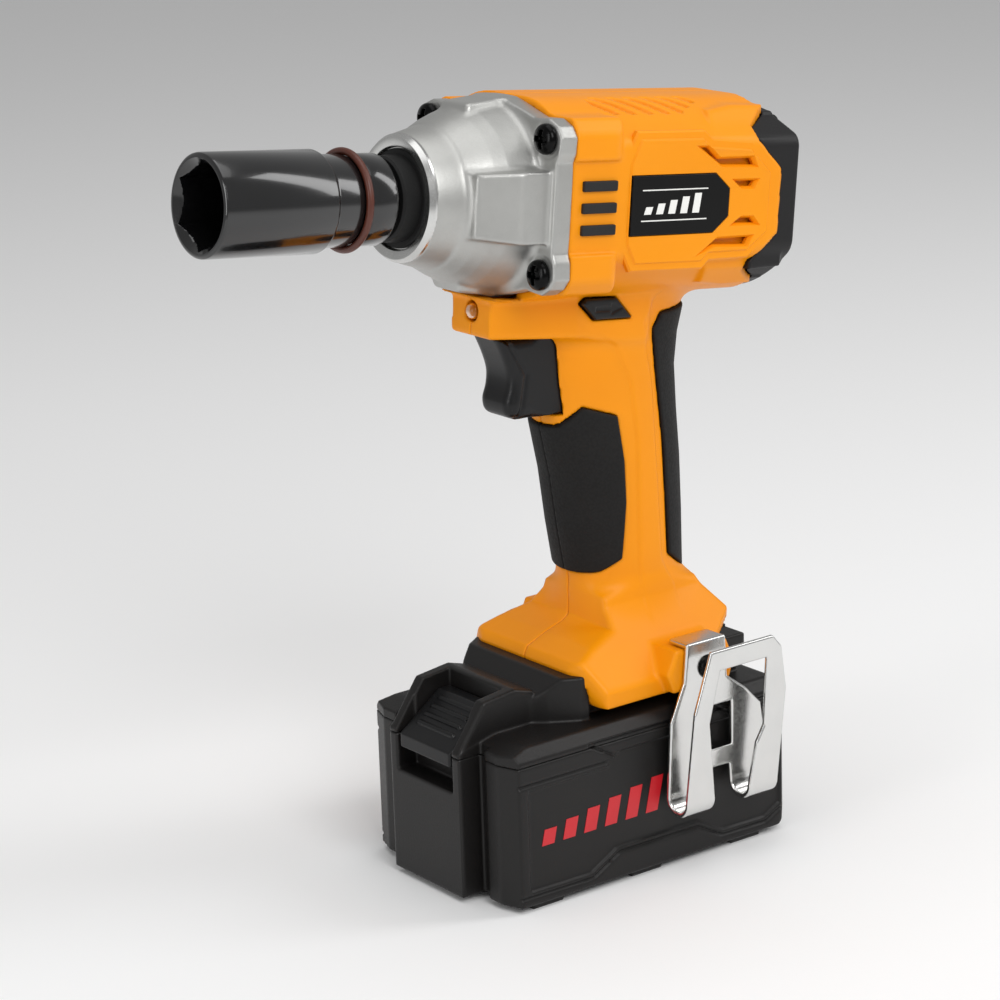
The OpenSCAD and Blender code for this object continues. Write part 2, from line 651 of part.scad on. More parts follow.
module belt_hook() color([0.85, 0.86, 0.87]) difference() {
    union() {
        side_plate([[-13.7, 71], [-12.4, 59], [-6.9, 47.4], [-5.5, bend_z], [-16.5, bend_z],
            [-17.5, 29.3], [-30, 29.3],
            [-30.4, bend_z], [-42, bend_z], [-44.1, 38.3], [-43, 46.3], [-37, 52.5], [-29.5, 58],
            [-29, 71]], hook_y0, hook_y1);
        side_plate([[-5.5, bend_z], [-9.2, 52], [-15.9, 70.5], [-40.6, 70.5], [-44, 66.5], [-45.8, 52.7],
            [-42, bend_z],
            [-30.4, bend_z], [-33.6, 37.6], [-36.7, 42.5], [-38.2, 64], [-19.3, 64], [-14.9, 48],
            [-16.5, bend_z]], hook_y2, hook_y3);
        bend(front_leg);
        bend(rear_leg);
        box([-29, -13.7], [30.5, hook_y1], [69.6, 69.6 + strap_t]);
    }
    side_plate([[-18, 49.6], [-31, 49.6], [-31, 35.4], [-18, 35.4]], hook_y0 - 1, hook_y1 + 1);
    cross_rod(hook_x, hook_zc, hook_y0 - 1, hook_y1 + 1, 2.1);
}

module belt_hook_screw() color([0.1, 0.1, 0.1]) translate([hook_x, hook_y1 + 0.02, hook_zc])
    rotate([0, 0, 90])
    pan_screw(0, 3.8, 2.4, 2, 10);

// ---------- battery ----------

function case_plan(t) = let (w = battery_half_w - t) [[block_x - t, 0], [block_x - t, 17.6 - t],
    [49 - t, 17.6 - t],
    [49 - t, 22.5 + t / 2], [case_x - t, 22.5 + t / 2], [case_x - t, 29.1 - t / 2], [48.95 - t, w],
    [-battery_l / 2 + 3 + t, w], [-battery_l / 2 + t, w - 3]];

module case_block(t, z0, z1) for (side = [0, 1]) mirror([0, side, 0]) translate([0, 0, z0])
    linear_extrude(z1 - z0)
    polygon(concat([[-battery_l / 2 + t, 0]], case_plan(t)));

// Side outline with the chamfered lower rear edge
module case_side() side_plate([[-battery_l / 2, 5.6], [-52.4, 0], [60, 0], [60, 70],
    [-battery_l / 2, 70]], -50, 50);

latch_floor = deck_z - 3.8;

module latch_pocket() box([50, 62], [-14, 14], [34.6, 60]);

module battery_bottom_case() color([0.09, 0.09, 0.1]) difference() {
    intersection() {
        case_block(0, 0, shell_split_z);
        case_side();
    }
    intersection() {
        translate([0, 0, 2.4]) case_block(2, 0, 60);
        box([-54.8, 47], [-50, 50], [2.4, 60]);
    }
    latch_pocket();
}

module rails(t) {
    box([platform_x0, platform_x1], [-22.6 + t, 22.6 - t], [deck_z - 1, platform_top - t]);
    box([platform_x0, platform_x1], [-26.5 + t, 26.5 - t], [58.1 + t, platform_top - t]);
}

module battery_top_case() color([0.09, 0.09, 0.1]) difference() {
    union() {
        intersection() {
            case_block(0, shell_split_z + 0.02, deck_z);
            along_x(-70) linear_extrude(140) polygon([[-battery_half_w, 40], [battery_half_w, 40],
                [battery_half_w, 49],
                [34, deck_z], [-34, deck_z], [-battery_half_w, 49]]);
            side_plate([[-battery_l / 2, 40], [60, 40], [60, 47], [45, deck_z + 1], [-54, deck_z + 1],
                [-battery_l / 2, 48]], -50, 50);
        }
        rails(0);
        // Collar in front of the foot
        intersection() {
            translate([0, 0, deck_z - 1]) linear_extrude(20) polygon([[platform_x1 - 1, -26.2],
                [26, -20], [30, -17],
                [30, 17], [26, 20], [platform_x1 - 1, 26.2]]);
            side_plate([[platform_x1 - 1, 50], [31, 50], [31, 59], [21, 65], [platform_x1 - 1, 65]], -40, 40);
        }
        // Walls round the latch
        intersection() {
            box([28, block_x], [-17.6, 17.6], [shell_split_z + 0.02, 63]);
            side_plate([[28, 40], [block_x, 40], [block_x, 47.5], [47, 61.5], [35, 63], [28, 61]], -40, 40);
        }
    }
    box([-52, 34], [-33, 33], [shell_split_z - 1, deck_z - 2.2]);
    box([-19, platform_x1 - 2], [-20.4, 20.4], [deck_z - 3, platform_top - 2.2]);
    box([platform_x0 - 1, -40.6], [-17.3, 17.3], [53, 70]);
    for (y = [-12, 0, 12]) box([-42, -22], [y - 1.3, y + 1.3], [55.5, 62.6]);
    box([37, 62], [-13.3, 13.3], [latch_floor, 70]);
    latch_pocket();
}

cell_pitch = 18.6;
cell_x0 = -39.4;
cell_rows = [12.4, 31];

module each_cell() for (i = [0 : 4], z = cell_rows) translate([cell_x0 + i * cell_pitch, 0, z])
    rotate([90, 0, 0]) children();

module battery_cells() color([0.15, 0.35, 0.6]) each_cell() translate([0, 0, -cell_l / 2])
    cylinder(h = cell_l, r = cell_r);

module cell_holders() color([0.12, 0.12, 0.13]) for (side = [-1, 1]) difference() {
    translate([0, side * 27, 0]) box([-49.5, 45.2], [-3, 3], [2.6, 41]);
    each_cell() translate([0, 0, -40]) cylinder(h = 80, r = cell_r + fit);
}

module cell_strips() color([0.8, 0.8, 0.8]) for (side = [-1, 1], i = [0 : 4])
    translate([cell_x0 + i * cell_pitch, side * (cell_l / 2 + 0.12), 0]) box([-4, 4], [-0.1, 0.1], [7, 37]);

module battery_contacts() color([0.8, 0.7, 0.45]) for (y = [-12, 0, 12], s = [-1, 1])
    box([-40, -23], [y + (s > 0 ? 0.46 : -1.3), y + (s > 0 ? 1.3 : -0.46)], [55.7, 62.4]);

module battery_latch() color([0.08, 0.08, 0.09]) {
    side_plate([[56.9, 42.2], [56.9, 46.6], [42, 57.5], [38, 57.5], [38, 53.4], [45, 53.4], [50.4, 50.2],
        [53.5, 42.2]], -13, 13);
    for (i = [0 : 3]) translate([44.6 + 2.8 * i, 0, 55.6 - 2.05 * i]) rotate([0, 36.2, 0])
        box([-0.6, 0.6], [-9, 9], [-1, 0.9]);
}

module latch_spring() color([0.6, 0.6, 0.62]) translate([41, 0, 0]) rotate([0, -90, 0])
    coil(latch_floor + 0.1, 6, 3, 0.4);

housing_left();
housing_right();
rear_cap();
front_grip_left();
front_grip_right();
rear_grip_left();
rear_grip_right();
side_ribs_left();
side_ribs_right();
badge_left();
badge_right();
hammer_case();
nose_bush();
nose_seal();
anvil();
anvil_washer();
hammer();
hammer_spring();
spindle();
cam_balls();
planet_gear_1();
planet_gear_2();
planet_gear_3();
planet_pins();
ring_gear();
gear_case();
spindle_bearing();
stator_core();
stator_windings();
rotor_core();
motor_shaft();
cooling_fan();
motor_bearings();
sensor_board();
socket();
socket_ring();
socket_pin();
case_screws();
housing_screws();
rear_cap_screws();
trigger();
trigger_switch();
trigger_spring();
direction_selector();
led_lens();
control_board();
motor_leads();
terminal_block();
contact_blades();
hook_inserts();
belt_hook();
belt_hook_screw();
battery_bottom_case();
battery_top_case();
battery_cells();
cell_holders();
cell_strips();
battery_contacts();
battery_latch();
latch_spring();
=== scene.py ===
# Looks of a cordless impact wrench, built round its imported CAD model.
import bpy
import json
import math
import numpy as np
from mathutils import Matrix, Vector


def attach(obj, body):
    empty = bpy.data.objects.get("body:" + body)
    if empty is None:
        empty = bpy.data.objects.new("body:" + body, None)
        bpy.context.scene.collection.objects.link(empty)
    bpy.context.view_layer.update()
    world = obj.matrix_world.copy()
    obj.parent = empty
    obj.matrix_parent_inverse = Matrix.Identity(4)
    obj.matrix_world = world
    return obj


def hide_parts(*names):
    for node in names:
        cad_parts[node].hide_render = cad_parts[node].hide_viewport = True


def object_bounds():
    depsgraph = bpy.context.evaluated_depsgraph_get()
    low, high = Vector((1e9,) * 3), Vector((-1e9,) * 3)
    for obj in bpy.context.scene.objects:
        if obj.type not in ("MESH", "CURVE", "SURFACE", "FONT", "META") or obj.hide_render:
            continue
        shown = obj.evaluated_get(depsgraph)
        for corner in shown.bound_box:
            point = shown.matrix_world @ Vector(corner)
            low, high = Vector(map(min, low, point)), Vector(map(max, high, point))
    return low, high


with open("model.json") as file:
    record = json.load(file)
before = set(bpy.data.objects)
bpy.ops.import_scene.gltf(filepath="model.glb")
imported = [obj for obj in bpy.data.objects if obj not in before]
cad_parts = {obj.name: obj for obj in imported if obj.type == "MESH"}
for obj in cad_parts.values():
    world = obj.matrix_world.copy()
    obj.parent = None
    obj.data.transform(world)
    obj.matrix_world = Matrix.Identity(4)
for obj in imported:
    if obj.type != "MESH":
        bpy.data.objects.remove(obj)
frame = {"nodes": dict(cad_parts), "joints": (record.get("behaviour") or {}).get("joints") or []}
nodes = frame["nodes"]
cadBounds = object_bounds()
gridScale = 1
print("frame loaded:", len(nodes), "CAD nodes")

# the barrel's own frame, taken from the anvil's joint
anvilJoint = [j for j in frame["joints"] if j["name"] == "anvil_spin"][0]
pivot = np.array(anvilJoint["pos_m"]) * 1000.0
barrelAxis = np.array(anvilJoint["axis"])
barrelUp = np.array([-barrelAxis[2], 0.0, barrelAxis[0]])
sideways = np.array([0.0, 1.0, 0.0])


def toBase(points):
    # barrel coordinates in mm (forward, left, up) to the row frame in mm
    points = np.asarray(points, float)
    return pivot + points[..., :1] * barrelAxis + points[..., 1:2] * sideways + points[..., 2:3] * barrelUp


def barrelCoordinates(x, z):
    # forward and up in the barrel's frame, from row coordinates in mm
    dx, dz = x - pivot[0], z - pivot[2]
    return dx * barrelAxis[0] + dz * barrelAxis[2], dx * barrelUp[0] + dz * barrelUp[2]


def keepPlace(points):
    # for shapes already in the row frame
    return points


# materials
def linear(hexColor):
    # sRGB hex to linear colour
    channels = [int(hexColor[i:i + 2], 16) / 255 for i in (1, 3, 5)]
    return [c / 12.92 if c <= 0.04045 else ((c + 0.055) / 1.055) ** 2.4 for c in channels] + [1.0]


def addNode(tree, kind, settings=None, inputs=None):
    # one shader node: settings are its own properties, inputs are values or sockets to link from
    node = tree.nodes.new(kind)
    for key, value in (settings or {}).items():
        setattr(node, key, value)
    for key, value in (inputs or {}).items():
        if isinstance(value, bpy.types.NodeSocket):
            tree.links.new(value, node.inputs[key])
        else:
            node.inputs[key].default_value = value
    return node


# Each finish: colours in sRGB, sizes in mm. grain is the moulded or blasted texture, height its relief,
# cloud the slow change of tone, and stretch turns the grain into lines along one axis.
finishes = {
    # spark-eroded ABS-PC moulding: matt sheen with a fine even grain
    "orangeAbs": dict(color="#F79A02", shade="#EE8F01", rough=0.42, spread=0.08, grain=0.45, height=0.018,
                      cloud=26, specular=0.25),
    # glass-filled nylon, darker and duller than the housing
    "blackNylon": dict(color="#121112", shade="#181718", rough=0.46, spread=0.10, grain=0.5, height=0.025,
                       cloud=18, specular=0.3),
    # satin black polycarbonate of the battery shells, with a visible stipple
    "batteryShell": dict(color="#131212", shade="#1B1918", rough=0.40, spread=0.10, grain=0.55,
                         height=0.03, cloud=30, specular=0.3),
    # soft thermoplastic rubber, matt, with a leather-like pebble
    "gripRubber": dict(color="#0C0B0B", shade="#131211", rough=0.68, spread=0.08, grain=0.8, height=0.05,
                       cloud=14, cell=True, specular=0.3),
    "trimRubber": dict(color="#1C1C1C", shade="#262626", rough=0.62, spread=0.08, grain=0.5, height=0.03,
                       cloud=8, specular=0.3),
    # bead-blasted cast aluminium: grey, sparkling fine pits
    "castAluminium": dict(color="#BDBDBA", shade="#ABABA8", rough=0.44, spread=0.12, grain=0.55,
                          height=0.035, cloud=9, metallic=0.85),
    # turned aluminium face: bright with fine rings
    "turnedAluminium": dict(color="#DADAD8", shade="#C6C6C4", rough=0.24, spread=0.08, grain=0.25,
                            height=0.004, cloud=7, metallic=1),
    # black oxide over polished chrome-vanadium steel: near-black and glossy, under a film of oil
    "blackOxide": dict(color="#0A0A0B", shade="#121213", rough=0.16, spread=0.05, grain=0.35,
                       height=0.002, cloud=12, coat=0.6),
    "screwOxide": dict(color="#121212", shade="#1C1C1C", rough=0.2, spread=0.08, grain=0.3, height=0.003,
                       cloud=3, metallic=0.9),
    # fluoro rubber retaining ring, brown with a satin skin
    "brownRubber": dict(color="#5B2A1B", shade="#4A2014", rough=0.36, spread=0.08, grain=0.4, height=0.01,
                        cloud=5),
    # glossy printed polycarbonate plate
    "badgePlate": dict(color="#040404", shade="#080808", rough=0.3, spread=0.04, grain=0.4, height=0.001,
                       cloud=10, specular=0.2),
    "badgeWhite": dict(color="#F2F2EE", shade="#E6E6E2", rough=0.3, spread=0.05, grain=0.3, height=0.002,
                       cloud=6),
    "redPrint": dict(color="#D3212B", shade="#C01A24", rough=0.34, spread=0.06, grain=0.4, height=0.004,
                     cloud=9),
    # bright nickel plate over stamped spring steel
    "nickelPlate": dict(color="#E2E2E0", shade="#D2D2D1", rough=0.2, spread=0.08, grain=1.2, height=0.006,
                        cloud=10, metallic=1),
    "satinBlack": dict(color="#0F0F10", shade="#161617", rough=0.33, spread=0.08, grain=0.5, height=0.014,
                       cloud=12, specular=0.3),
    "darkRubber": dict(color="#0E0E0E", shade="#161616", rough=0.6, spread=0.1, grain=0.5, height=0.02,
                       cloud=6, specular=0.3),
    "amberLens": dict(color="#C97812", shade="#DE8F26", rough=0.08, spread=0.03, grain=0.4, height=0.001,
                      cloud=3, transmit=0.45),
    # phosphated hardened steel of the anvil and hammer
    "phosphateSteel": dict(color="#4A4A4C", shade="#3C3C3E", rough=0.42, spread=0.12, grain=0.4,
                           height=0.012, cloud=7, metallic=1),
    "groundSteel": dict(color="#8E8F92", shade="#7E7F82", rough=0.26, spread=0.1, grain=0.3, height=0.005,
                        cloud=6, metallic=1, stretch=(12, 1, 1)),
    "polishedSteel": dict(color="#C3C5C8", shade="#B4B6BA", rough=0.16, spread=0.06, grain=0.3,
                          height=0.002, cloud=6, metallic=1),
    # electrical steel sheets: fine edges across the axis
    "laminations": dict(color="#6A6B70", shade="#4A4B50", rough=0.4, spread=0.14, grain=0.5, height=0.03,
                        cloud=4, metallic=1, stretch=(1, 0.05, 0.05)),
    # enamelled copper wire laid side by side
    "enamelledCopper": dict(color="#B4622A", shade="#8A4219", rough=0.3, spread=0.12, grain=0.7,
                            height=0.12, cloud=3, metallic=0.9, stretch=(0.06, 1, 1)),
    "sinteredBronze": dict(color="#B58A45", shade="#8F6A32", rough=0.4, spread=0.14, grain=0.4,
                           height=0.02, cloud=5, metallic=1),
    "solderMask": dict(color="#12472A", shade="#1C5C38", rough=0.3, spread=0.1, grain=1.4, height=0.02,
                       cloud=4),
    "siliconeLead": dict(color="#9E1D16", shade="#86140E", rough=0.5, spread=0.06, grain=0.4, height=0.01,
                         cloud=5),
    "cellWrap": dict(color="#2E6FA8", shade="#245C90", rough=0.24, spread=0.05, grain=0.6, height=0.004,
                     cloud=12),
    "tinnedBrass": dict(color="#CDBB86", shade="#B8A56E", rough=0.22, spread=0.1, grain=0.4, height=0.004,
                        cloud=4, metallic=1),
    "nylonHolder": dict(color="#262628", shade="#303032", rough=0.5, spread=0.1, grain=0.6, height=0.02,
                        cloud=10),
}


def makeFinish(name, look):
    material = bpy.data.materials.new(name)
    material.use_nodes = True
    tree = material.node_tree
    tree.nodes.clear()
    place = addNode(tree, "ShaderNodeTexCoord").outputs["Object"]
    if look.get("stretch"):
        place = addNode(tree, "ShaderNodeMapping",
                        inputs={"Vector": place, "Scale": look["stretch"]}).outputs[0]
    cloud = addNode(tree, "ShaderNodeTexNoise", inputs={"Vector": place, "Scale": 1000 / look["cloud"],
            "Detail": 3.0}).outputs[0]
    if look.get("cell"):
        grain = addNode(tree, "ShaderNodeTexVoronoi", {"feature": "SMOOTH_F1"},
                        {"Vector": place, "Scale": 1000 / look["grain"], "Smoothness": 0.6}).outputs[0]
    else:
        grain = addNode(tree, "ShaderNodeTexNoise",
                        inputs={"Vector": place, "Scale": 1000 / look["grain"], "Detail": 2.0,
                                "Roughness": 0.6}).outputs[0]
    tone = addNode(tree, "ShaderNodeMix", {"data_type": "RGBA"},
                   {0: cloud, 6: linear(look["color"]), 7: linear(look["shade"])}).outputs[2]
    rough = addNode(tree, "ShaderNodeMapRange",
                    inputs={0: grain, 1: 0.3, 2: 0.7, 3: look["rough"] - look["spread"] / 2,
                            4: look["rough"] + look["spread"] / 2}).outputs[0]
    bump = addNode(tree, "ShaderNodeBump", inputs={"Height": grain, "Distance": look["height"] / 1000,
                                                   "Strength": 1.0}).outputs[0]
    shader = addNode(tree, "ShaderNodeBsdfPrincipled", inputs={"Base Color": tone, "Roughness": rough,
            "Normal": bump, "Metallic": float(look.get("metallic", 0))})
    if look.get("specular"):
        shader.inputs["Specular IOR Level"].default_value = look["specular"]
    if look.get("coat"):
        shader.inputs["Coat Weight"].default_value = look["coat"]
        shader.inputs["Coat Roughness"].default_value = 0.06
    if look.get("transmit"):
        shader.inputs["Transmission Weight"].default_value = look["transmit"]
        shader.inputs["IOR"].default_value = 1.49  # acrylic
    addNode(tree, "ShaderNodeOutputMaterial", inputs={"Surface": shader.outputs[0]})
    return material


materials = {name: makeFinish(name, look) for name, look in finishes.items()}
print("finishes made:", len(materials))


# meshes
def makePiece(name, points, faces, finish, body, replaced=(), smooth=35):
    # points in mm in the row frame; faces as an array of quads or a list of index tuples
    mesh = bpy.data.meshes.new(name)
    points = np.asarray(points, float) / 1000
    if isinstance(faces, np.ndarray):
        mesh.vertices.add(len(points))
        mesh.vertices.foreach_set("co", points.ravel())
        mesh.loops.add(faces.size)
        mesh.loops.foreach_set("vertex_index", faces.ravel().astype(np.int32))
        mesh.polygons.add(len(faces))
        mesh.polygons.foreach_set("loop_start", np.arange(len(faces), dtype=np.int32) * faces.shape[1])
        mesh.update(calc_edges=True)
    else:
        mesh.from_pydata(points.tolist(), [], faces)
        mesh.update()
    mesh.polygons.foreach_set("use_smooth", np.ones(len(mesh.polygons), bool))
    if smooth:
        mesh.set_sharp_from_angle(angle=math.radians(smooth))
    piece = bpy.data.objects.new(name, mesh)
    bpy.context.scene.collection.objects.link(piece)
    mesh.materials.append(materials[finish])
    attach(piece, body)
    if replaced:
        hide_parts(*replaced)
    return piece


def softenEdges(piece, width, angle=30, segments=2):
    # bevels of a width in mm on edges sharper than an angle
    bevel = piece.modifiers.new("edges", "BEVEL")
    bevel.width = width / 1000
    bevel.segments = segments
    bevel.limit_method = "ANGLE"
    bevel.angle_limit = math.radians(angle)
    bevel.harden_normals = True
    return piece


def turnedMesh(profile, sides=96):
    # profile of (distance, radius) turned about the barrel axis; a radius of 0 is one pole point
    turn = np.arange(sides) * 2 * math.pi / sides
    points, rings, faces = [], [], []
    for x, r in profile:
        if r == 0:
            rings.append([len(points)] * sides)
            points.append((x, 0.0, 0.0))
        else:
            rings.append(list(range(len(points), len(points) + sides)))
            points.extend(np.stack([np.full(sides, x), r * np.cos(turn), r * np.sin(turn)], -1).tolist())
    for a, b in zip(rings[:-1], rings[1:]):
        for i in range(sides):
            j = (i + 1) % sides
            quad = [a[i], b[i], b[j], a[j]]
            faces.append(tuple(dict.fromkeys(quad)))
    return np.array(points), faces


def turnedRing(profile, sides=96):
    # the same for a closed profile that never meets the axis
    return turnedMesh(list(profile) + [profile[0]], sides)


def plateMesh(points, y0, y1):
    # a flat outline of (forward, up) points made into a plate between two sideways places
    n = len(points)
    low = [(p[0], y0, p[1]) for p in points]
    high = [(p[0], y1, p[1]) for p in points]
    area = sum(points[i][0] * points[(i + 1) % n][1] - points[(i + 1) % n][0] * points[i][1]
               for i in range(n))
    order = list(range(n)) if (area > 0) == (y1 > y0) else list(range(n))[::-1]
    faces = [tuple(order), tuple(i + n for i in order[::-1])]
    faces += [(order[i - 1], order[i - 1] + n, order[i] + n, order[i]) for i in range(n)]
    return np.array(low + high), faces


def mergeMeshes(parts):
    # several closed shapes as one list of points and faces
    points, faces, count = [], [], 0
    for p, f in parts:
        points.append(np.asarray(p, float))
        faces += [tuple(i + count for i in face) for face in f]
        count += len(p)
    return np.concatenate(points), faces


# solids given by a distance field
def smoothMax(a, b, r):
    # the larger of two distances, rounded over a width r
    h = np.maximum(r - np.abs(a - b), 0)
    return np.maximum(a, b) + h * h / (4 * r)


def smoothMin(a, b, r):
    # the smaller of two distances, rounded the same way
    return -smoothMax(-a, -b, r)


def outline(points, u, v):
    # signed distance to a closed polygon, negative inside
    points = np.array(points, float)
    distance = np.full(np.broadcast(u, v).shape, 1e9)
    inside = np.zeros(distance.shape, bool)
    for (ax, ay), (bx, by) in zip(points, np.roll(points, -1, 0)):
        ex, ey = bx - ax, by - ay
        wx, wy = u - ax, v - ay
        t = np.clip((wx * ex + wy * ey) / (ex * ex + ey * ey), 0, 1)
        distance = np.minimum(distance, (wx - ex * t) ** 2 + (wy - ey * t) ** 2)
        if ey != 0:
            inside ^= ((ay > v) != (by > v)) & (u < ax + ex * (v - ay) / ey)
    return np.where(inside, -1, 1) * np.sqrt(distance)


def span(v, low, high):
    # distance outside the stretch between two values
    return np.maximum(low - v, v - high)


def block(x, y, z, r=0.4):
    # a box from spans of (coordinate, low, high)
    return smoothMax(smoothMax(span(*x), span(*y), r), span(*z), r)


def fieldMesh(field, low, high, step):
    # surface nets: a grid cell that the surface crosses gets one point at the mean of its edge crossings,
    # each crossed grid edge gets one quad, and the points then slide down the slope onto the surface
    low = np.array(low, float)
    count = np.ceil((np.array(high) - low) / step).astype(int) + 1
    axes = [low[i] + step * np.arange(count[i]) for i in range(3)]
    value = np.broadcast_to(field(axes[0][:, None, None], axes[1][None, :, None], axes[2][None, None, :]),
                            count).astype(np.float32)
    total = np.zeros((3,) + tuple(count - 1), np.float32)
    weight = np.zeros(tuple(count - 1), np.float32)
    crossings = []
    for a in range(3):
        b, c = (a + 1) % 3, (a + 2) % 3
        first = np.take(value, np.arange(count[a] - 1), a)
        second = np.take(value, np.arange(1, count[a]), a)
        cross = (first < 0) != (second < 0)
        t = np.where(cross, first / np.where(cross, first - second, 1), 0).astype(np.float32)
        crossings.append((cross, first < 0))
        for i in (0, 1):
            for j in (0, 1):
                cut = [slice(None)] * 3
                cut[b] = slice(i, count[b] - 1 + i)
                cut[c] = slice(j, count[c] - 1 + j)
                here = cross[tuple(cut)]
                weight += here
                total[a] += t[tuple(cut)]
                total[b] += here * i
                total[c] += here * j
    used = weight > 0
    index = np.full(weight.shape, -1, np.int64)
    index[used] = np.arange(used.sum())
    cells = np.argwhere(used)
    points = low + step * (cells + (total[:, used] / weight[used]).T)
    quads = []
    for a in range(3):
        b, c = (a + 1) % 3, (a + 2) % 3
        cross, inside = crossings[a]
        keep = [slice(None)] * 3
        keep[b] = slice(1, count[b] - 1)
        keep[c] = slice(1, count[c] - 1)
        spots = np.argwhere(cross[tuple(keep)])
        spots[:, b] += 1
        spots[:, c] += 1
        outward = inside[tuple(spots.T)]
        corners = []
        for i, j in ((1, 1), (0, 1), (0, 0), (1, 0)):
            cell = spots.copy()
            cell[:, b] -= i
            cell[:, c] -= j
            corners.append(index[tuple(cell.T)])
        quad = np.stack(corners, -1)
        quad[~outward] = quad[~outward][:, ::-1]
        quads.append(quad)
    quads = np.concatenate(quads)
    start = points.copy()
    h = 0.12 * step
    for _ in range(3):
        x, y, z = points.T
        here = field(x, y, z)
        slope = np.stack([field(x + h, y, z) - here, field(x, y + h, z) - here,
                          field(x, y, z + h) - here], -1) / h
        points = points - (here / np.maximum((slope ** 2).sum(-1), 0.25))[:, None] * slope
        points = start + np.clip(points - start, -0.5 * step, 0.5 * step)
    return points, quads


def fieldPiece(name, field, low, high, step, finish, body, replaced=(), place=keepPlace):
    # a piece from a distance field, meshed in a box with a step in mm
    points, quads = fieldMesh(field, low, high, step * gridScale)
    piece = makePiece(name, place(points), quads, finish, body, replaced, smooth=0)
    print(name, len(quads) * 2, "triangles")
    return piece


# side panel: a raised octagon with a stepped border, its badge and its air vents,
# as (forward, up) in the barrel's frame
panel = dict(
    outer=[(6.8, 21.6), (-18.8, 21.5), (-22.2, 18.9), (-38.1, 17.8), (-47.8, 9.6), (-47.7, -10.4),
           (-38.6, -17.1), (-23.5, -17.3), (-20.8, -19.7), (6.9, -19.5), (11.2, -12.0), (11.2, 12.6)],
    badge=[(8.3, -8.7), (8.3, 8.7), (-23.4, 8.7), (-29.1, 4.1), (-29.1, -4.1), (-23.4, -8.7)],
    face=33.5, badgeOut=33.75, barTop=34.2,
    vents=[[(-15.4, 17.0), (-20.7, 17.0), (-24.8, 13.5), (-38.2, 13.6), (-40.2, 10.0), (-25.9, 10.4)],
           [(-29.8, 6.9), (-41.1, 6.8), (-38.9, 3.6), (-33.8, 3.8)],
           [(-34.6, -4.2), (-39.4, -4.3), (-42.4, -7.4), (-29.9, -7.1)],
           [(-25.6, -10.2), (-40.2, -10.0), (-37.8, -13.7), (-24.8, -13.3), (-17.0, -15.9),
            (-22.6, -12.3)]])


# shapes shared by the housing and its grips
barrel = dict(halfWidth=33.0, top=29.5, bottom=-30.0, seam=-50.0, front=30.0, wall=2.4, gap=0.06,
              facet=(0.3784, 0.9259, 32.23))
caseScrew = dict(out=28.4, up=19.44)  # the four screws through the flange
hookScrew = dict(x=-22, z=62.6)
handleHalfWidth = 16.5
# height, front and back of the handle's outline in the row frame
handleStations = np.array([[60, -1, -39.5], [76, -1, -39.5], [90, 1.5, -39.6], [104, 4, -39.8],
                           [121, 6.3, -39.6], [136, 9.5, -38.8], [150, 11.6, -38.4], [160, 12.4, -40],
                           [178, 12.4, -46], [190, 12.4, -50]])
frontGripZone = [(30, 136), (8, 137.5), (3, 143.5), (-8, 139.5), (-10.3, 125), (-10.8, 112), (-9.3, 94),
                 (-3, 90), (4, 88.5), (30, 86)]
rearGripZone = [(-22, 164), (-26, 168.5), (-60, 168.5), (-60, 84), (-37, 84.5), (-26.8, 92), (-25.7, 128)]
# the raised band that runs down the handle's side between the grips
bandZone = [(12, 176), (2, 168), (-7.4, 161.4), (-12.8, 149.7), (-15.1, 130.6), (-15.2, 60), (-29, 60),
            (-27.8, 83), (-24, 91), (-21.4, 148.2), (-17.6, 166.7), (-24, 176)]


def barrelSection(y, z, inset=0.0):
    # rounded octagon: flat sides, a raised shoulder, a slanted facet and a narrow top
    y = np.abs(y)
    w, top, low = barrel["halfWidth"] - inset, barrel["top"] - inset, barrel["bottom"] + inset
    side = y - w
    lid = smoothMax(z - top, low - z, 1)
    shoulder = 0.573 * y + 0.820 * z - (0.573 * 33 + 0.820 * 18.5 - inset)
    slope = barrel["facet"][0] * y + barrel["facet"][1] * z - (barrel["facet"][2] - inset)
    under = 0.690 * y - 0.724 * z - (0.690 * 33 + 0.724 * 15.5 - inset)
    belly = 0.3784 * y - 0.9259 * z - (32.8 - inset)
    d = smoothMax(side, lid, 2)
    for plane in (shoulder, slope, under, belly):
        d = smoothMax(d, plane, 2.2)
    return d


def handleForm(x, y, z):
    # ellipses whose front and back follow the stations up the handle
    front = np.interp(z, handleStations[:, 0], handleStations[:, 1])
    back = np.interp(z, handleStations[:, 0], handleStations[:, 2])
    c, h = (front + back) / 2, (front - back) / 2
    u, v = (x - c) / h, y / handleHalfWidth
    s = (np.abs(u) ** 2.3 + np.abs(v) ** 2.3) ** (1 / 2.3)
    slope = np.sqrt((u / h) ** 2 + (v / handleHalfWidth) ** 2) / np.maximum(np.sqrt(u * u + v * v), 1e-3)
    return (s - 1) / np.maximum(slope, 1 / 30)


def footForm(x, y, z):
    # where the plan, the side and the end outlines all hold
    y = np.abs(y)
    plan = outline([(18.8, -1), (18.8, 21.6), (12.5, 33.6), (-40, 33.6), (-51, 20), (-51, -1)], x, y)
    side = outline([(-60, 54.6), (13.2, 54.6), (18.9, 65.5), (17, 68.5), (10, 71.5), (0, 74.5),
                    (-2, 82.5), (-38.5, 82.5), (-45, 73), (-52, 66)], x, z)
    end = outline([(33.6, 54.6), (33.6, 60), (24, 71), (15.5, 80), (14, 84), (-1, 84), (-1, 54.6)], y, z)
    return smoothMax(smoothMax(plan, side, 1.6), end, 1.6)


def chinForm(hx, y, hz):
    # the plan between an upper and a lower height
    y = np.abs(y)
    plan = outline([(39, -1), (39, 9.3), (12, 16.2), (-14, 16.2), (-14, -1)], hx, y)
    return smoothMax(smoothMax(plan, -41.5 - hz, 1.6), hz + 24, 1)


